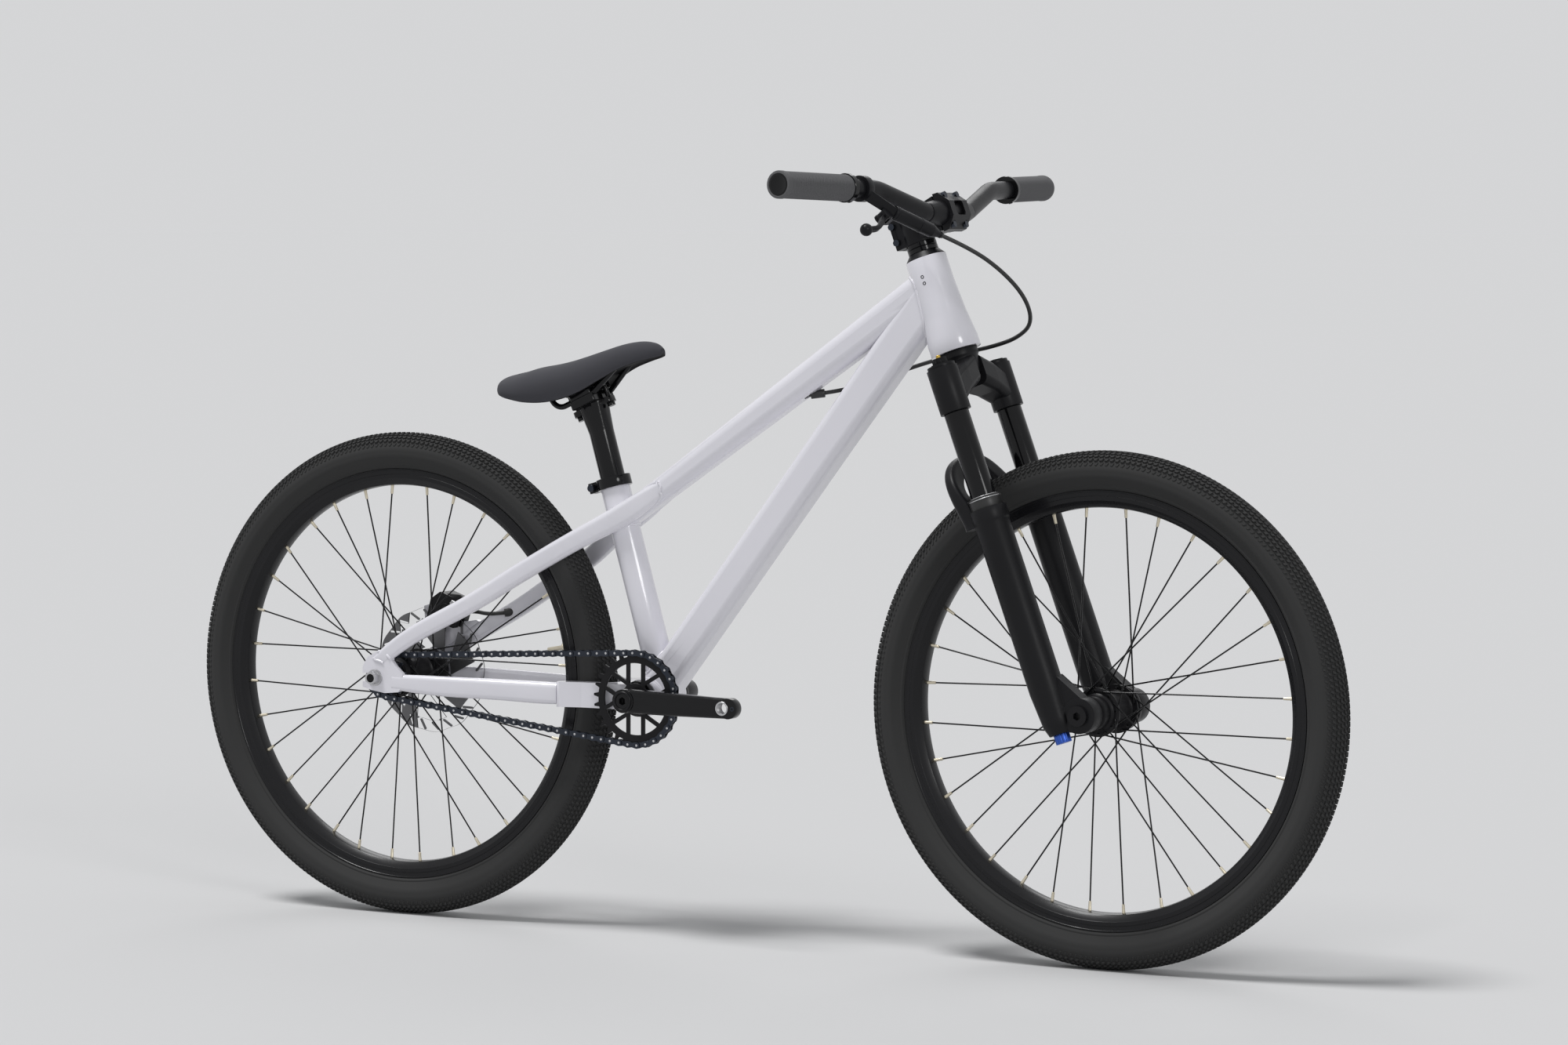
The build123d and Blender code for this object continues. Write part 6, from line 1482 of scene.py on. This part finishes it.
@dataclass
class Fittings:
    """Small turned and bored details that ride on the frame, fork, cranks and bar."""

    leg_spacing: float = 69.5
    leg_ahead: float = 9.0
    bottom: tuple[float, float] = (-124.3368, 293.5)
    crank_length: float = 142.0
    crank_face: float = 86.0
    rear_axle: tuple[float, float] = (-488.0, 305.5)

    def build(self) -> None:
        """Make all the fittings."""
        self._head_ports()
        self._seal_rings()
        self._spacers()
        self._dial_button()
        self._pedal_eyes()
        self._spindle_rings()
        self._axle_bore_painted_shades()

    def _ring(self, draft: Draft, centre: Vector, way: Vector, profile: Sequence[tuple[float, float]]) -> None:
        """A closed ring turned from a section, in millimetres, round a centre."""
        along = way.normalized()
        across = along.orthogonal().normalized()
        over = along.cross(across)
        sections = []
        for step in range(56):
            turn = math.tau * step / 56
            out = across * math.cos(turn) + over * math.sin(turn)
            sections.append([centre + (along * rise + out * reach) * MM for rise, reach in profile])
        draft.loft(sections, loop=True)

    def _head_ports(self) -> None:
        """Two small drilled holes in the drive side of the head tube, each with a soft rim."""
        draft = Draft()
        for up in (94.9, 86.9):
            place = HEAD_FOOT + HEAD_UP * up
            out = Vector((0, -1, 0))
            centre = (place + out * 24.85) * MM
            hole = [(-1.0, 2.1), (0.12, 2.1), (0.2, 1.7), (0.1, 1.3), (-0.2, 1.1), (-0.2, 0.1)]
            draft.turned(centre, out, in_millimetres(hole), 18)
        draft.finish("head_tube_ports", [FINISHES.moulded_black_and_painted_bore_shade], Body.FRAME, 40)

    def _seal_rings(self) -> None:
        """A thin bright spring on top of each wiper seal and one round it."""
        draft = Draft()
        for side in (-1, 1):
            for down, reach in ((181.4, 16.6), (184.6, 19.6)):
                centre = in_head(self.leg_ahead, side * self.leg_spacing, down)
                self._ring(draft, centre, HEAD_UP, ring_profile(reach, 0.55))
        draft.finish("seal_springs", [FINISHES.steel], Body.LOWER_LEGS, 60)

    def _spacers(self) -> None:
        """Two polished spacers on the steerer, between the cone cover and the stem."""
        draft = Draft()
        for low, high in ((125.4, 131.0), (131.4, 136.8)):
            place = HEAD_FOOT * MM
            profile = [(low, 17.6), (low, 18.0), (low + 0.5, 18.5), (high - 0.5, 18.5), (high, 18.0), (high, 17.6)]
            self._ring(draft, place, HEAD_UP, profile)
        draft.finish("steerer_spacers", [FINISHES.gloss_black], Body.STEERING, 30)

    def _dial_button(self) -> None:
        """The small gold button in the middle of the compression dial."""
        draft = Draft()
        place = in_head(self.leg_ahead, -self.leg_spacing, 9.9)
        profile = [(-0.5, 3.4), (0.2, 3.4), (0.5, 2.9), (3.4, 2.7), (4.0, 2.2), (4.0, 0.2)]
        draft.turned(place, HEAD_UP, in_millimetres(profile), 24)
        draft.finish("dial_button", [FINISHES.dial_gold], Body.COMPRESSION, 35)

    def _pedal_eyes(self) -> None:
        """A bright threaded bush in each pedal eye, and a small screw in each arm's tip."""
        bushes = Draft()
        screws = Draft()
        for side, way in ((-1, 1), (1, -1)):
            out = Vector((0, side, 0))
            eye = Vector((self.bottom[0] + way * self.crank_length, side * self.crank_face, self.bottom[1] - 1.6)) * MM
            profile = [(-12.6, 7.05), (-12.6, 6.6)]
            for turn in range(10):
                profile += [(-12.0 + turn * 1.2, 6.95), (-11.4 + turn * 1.2, 6.5)]
            profile += [(0.1, 6.7), (0.25, 7.3), (0.25, 8.3), (0.05, 8.5), (-0.1, 8.5), (-0.1, 7.05)]
            self._ring(bushes, eye, out, profile)
            tip = eye + Vector((way * 14.6, 0, 0)) * MM
            head = [(-1.0, 2.7), (0.25, 2.7), (0.4, 2.4), (0.4, 1.5), (-0.5, 1.4), (-0.5, 0.1)]
            screws.turned(tip, out, in_millimetres(head), 18)
        bushes.finish("pedal_bushes", [FINISHES.steel], Body.CRANK, 30)
        screws.finish("crank_tip_screws", [FINISHES.dark_steel], Body.CRANK, 30)

    def _spindle_rings(self) -> None:
        """A stepped black ring round each spindle bolt."""
        draft = Draft()
        for side in (-1, 1):
            centre = Vector((self.bottom[0], side * (self.crank_face - 6.0), self.bottom[1])) * MM
            profile = [(-0.5, 9.7), (1.2, 9.7), (1.6, 10.2), (1.6, 11.6), (1.0, 12.2), (-0.5, 12.2)]
            self._ring(draft, centre, Vector((0, side, 0)), profile)
        draft.finish("spindle_rings", [FINISHES.satin_black], Body.CRANK, 30)

    def _axle_bore_painted_shades(self) -> None:
        """Painted shade: a flat dark disc at each hollow end of the rear axle, inside its nuts, stands for the shade
        in the bore.
        """
        draft = Draft()
        for side in (-1, 1):
            end = Vector((self.rear_axle[0], side * 85.9, self.rear_axle[1])) * MM
            profile = [(-0.5, 5.4), (0.12, 5.4), (0.2, 5.0), (0.05, 4.2), (0.05, 0.1)]
            draft.turned(end, Vector((0, side, 0)), in_millimetres(profile), 30)
        # Both discs are painted shade of the axle's bores, made as one piece.
        draft.finish("rear_axle_painted_bore_shade", [FINISHES.moulded_black_and_painted_bore_shade], Body.FRAME, 30)


@dataclass
class CaliperDetail:
    """What stands on the rear brake caliper: its barrel, cap, bolts and the hose's union."""

    axle: tuple[float, float, float] = (-488.0, 0.0, 305.5)
    lean: float = 70.4

    def place(self, along: float, out: float, left: float) -> Vector:
        """Point beside the disc: along its rim, out from the axle, and to the left."""
        turn = math.radians(self.lean)
        away = Vector((math.cos(turn), 0, math.sin(turn)))
        rim = Vector((math.sin(turn), 0, -math.cos(turn)))
        return (Vector(self.axle) + rim * along + away * out + Vector((0, left, 0))) * MM

    def build(self) -> None:
        """Make the barrel, the cap, the bolts and the union."""
        black = Draft()
        low, high = self.place(-13, 93.5, 49), self.place(17, 101.5, 49)
        way = high - low
        length = way.length / MM
        barrel = [(-1.0, 3.0), (0, 7.2), (1.5, 8.0), (length - 2, 8.0), (length, 6.6), (length + 3, 6.4), (length + 3.6, 5.4)]
        black.turned(low, way, in_millimetres(barrel), 32)
        side = Vector((0, -1, 0))
        cap = [(-1, 8.4), (1.2, 8.4), (1.8, 7.8), (1.8, 6.6), (1.2, 6.2), (1.2, 3.0), (0.2, 2.6), (0.2, 0.2)]
        black.turned(self.place(1.6, 84.0, 41), side, in_millimetres(cap), 32)
        black.turned(self.place(1.6, 84.0, 71), -side, in_millimetres(cap), 32)
        black.finish("caliper_barrel", [FINISHES.satin_black], Body.FRAME, 35)
        bolts = Draft()
        bolt = [(-4, 4.0), (0, 4.0), (0.1, 4.6), (4.4, 4.6), (4.9, 4.1), (4.9, 2.6), (2.6, 2.4), (2.6, 0.2)]
        outward = self.place(0, 1, 0) - self.place(0, 0, 0)
        for along in (-17.5, 17.5):
            bolts.turned(self.place(along, 92.0 if along < 0 else 93.0, 64), outward, in_millimetres(bolt), 24)
        union = [(-6, 3.4), (0, 3.4), (0, 4.7), (3.0, 4.7), (3.4, 4.2), (3.4, 0.2)]
        bolts.turned(high, way, in_millimetres([(3.0, 3.2), (5.6, 3.2), (5.6, 4.4), (8.6, 4.4), (9.0, 3.9), (9.0, 0.2)]), 6)
        bolts.turned(self.place(10, 95.5, 43.2), side, in_millimetres(union), 6)
        bolts.finish("caliper_bolts", [FINISHES.steel], Body.FRAME, 30)


@dataclass
class LeverDetail:
    """Rings and hose nut of the brake lever's body."""

    start: tuple[float, float, float] = (287.5, -159.0, 888.0)
    end: tuple[float, float, float] = (317.5, -103.0, 863.0)
    clamp: tuple[float, float, float] = (255.107, -177.0, 915.194)

    def build(self) -> None:
        """Make the rings and the nut."""
        draft = Draft()
        start, end = Vector(self.start) * MM, Vector(self.end) * MM
        way = end - start
        for at in (3.0, 38.0):
            ring = [(at, 8.2), (at + 0.2, 8.7), (at + 2.4, 8.7), (at + 2.6, 8.2)]
            Fittings()._ring(draft, start, way, ring)
        draft.turned(end, way, in_millimetres([(-2.0, 4.6), (2.6, 4.6), (3.2, 3.9), (5.4, 3.4), (5.4, 2.6)]), 6)
        body = draft.finish("lever_barrel_rings", [FINISHES.satin_black], Body.STEERING, 30)



def main() -> None:
    """Build the bicycle's looks, piece by piece."""
    logging.basicConfig(level=logging.INFO, format="%(message)s")
    Studio().build()
    CarriedPieces().build()
    Hoses().build()
    front = Wheel("front", Body.FRONT_WHEEL, 488.0 * MM, 96.05)
    rear = Wheel("rear", Body.REAR_WHEEL, -488.0 * MM, 94.75)
    front.build()
    rear.build()
    Rotor(rear).build()
    Chain().build()
    Saddle().build()
    Welds().build()
    Grips().build()
    Fittings().build()
    CaliperDetail().build()
    LeverDetail().build()


if __name__ == "__main__":
    main()
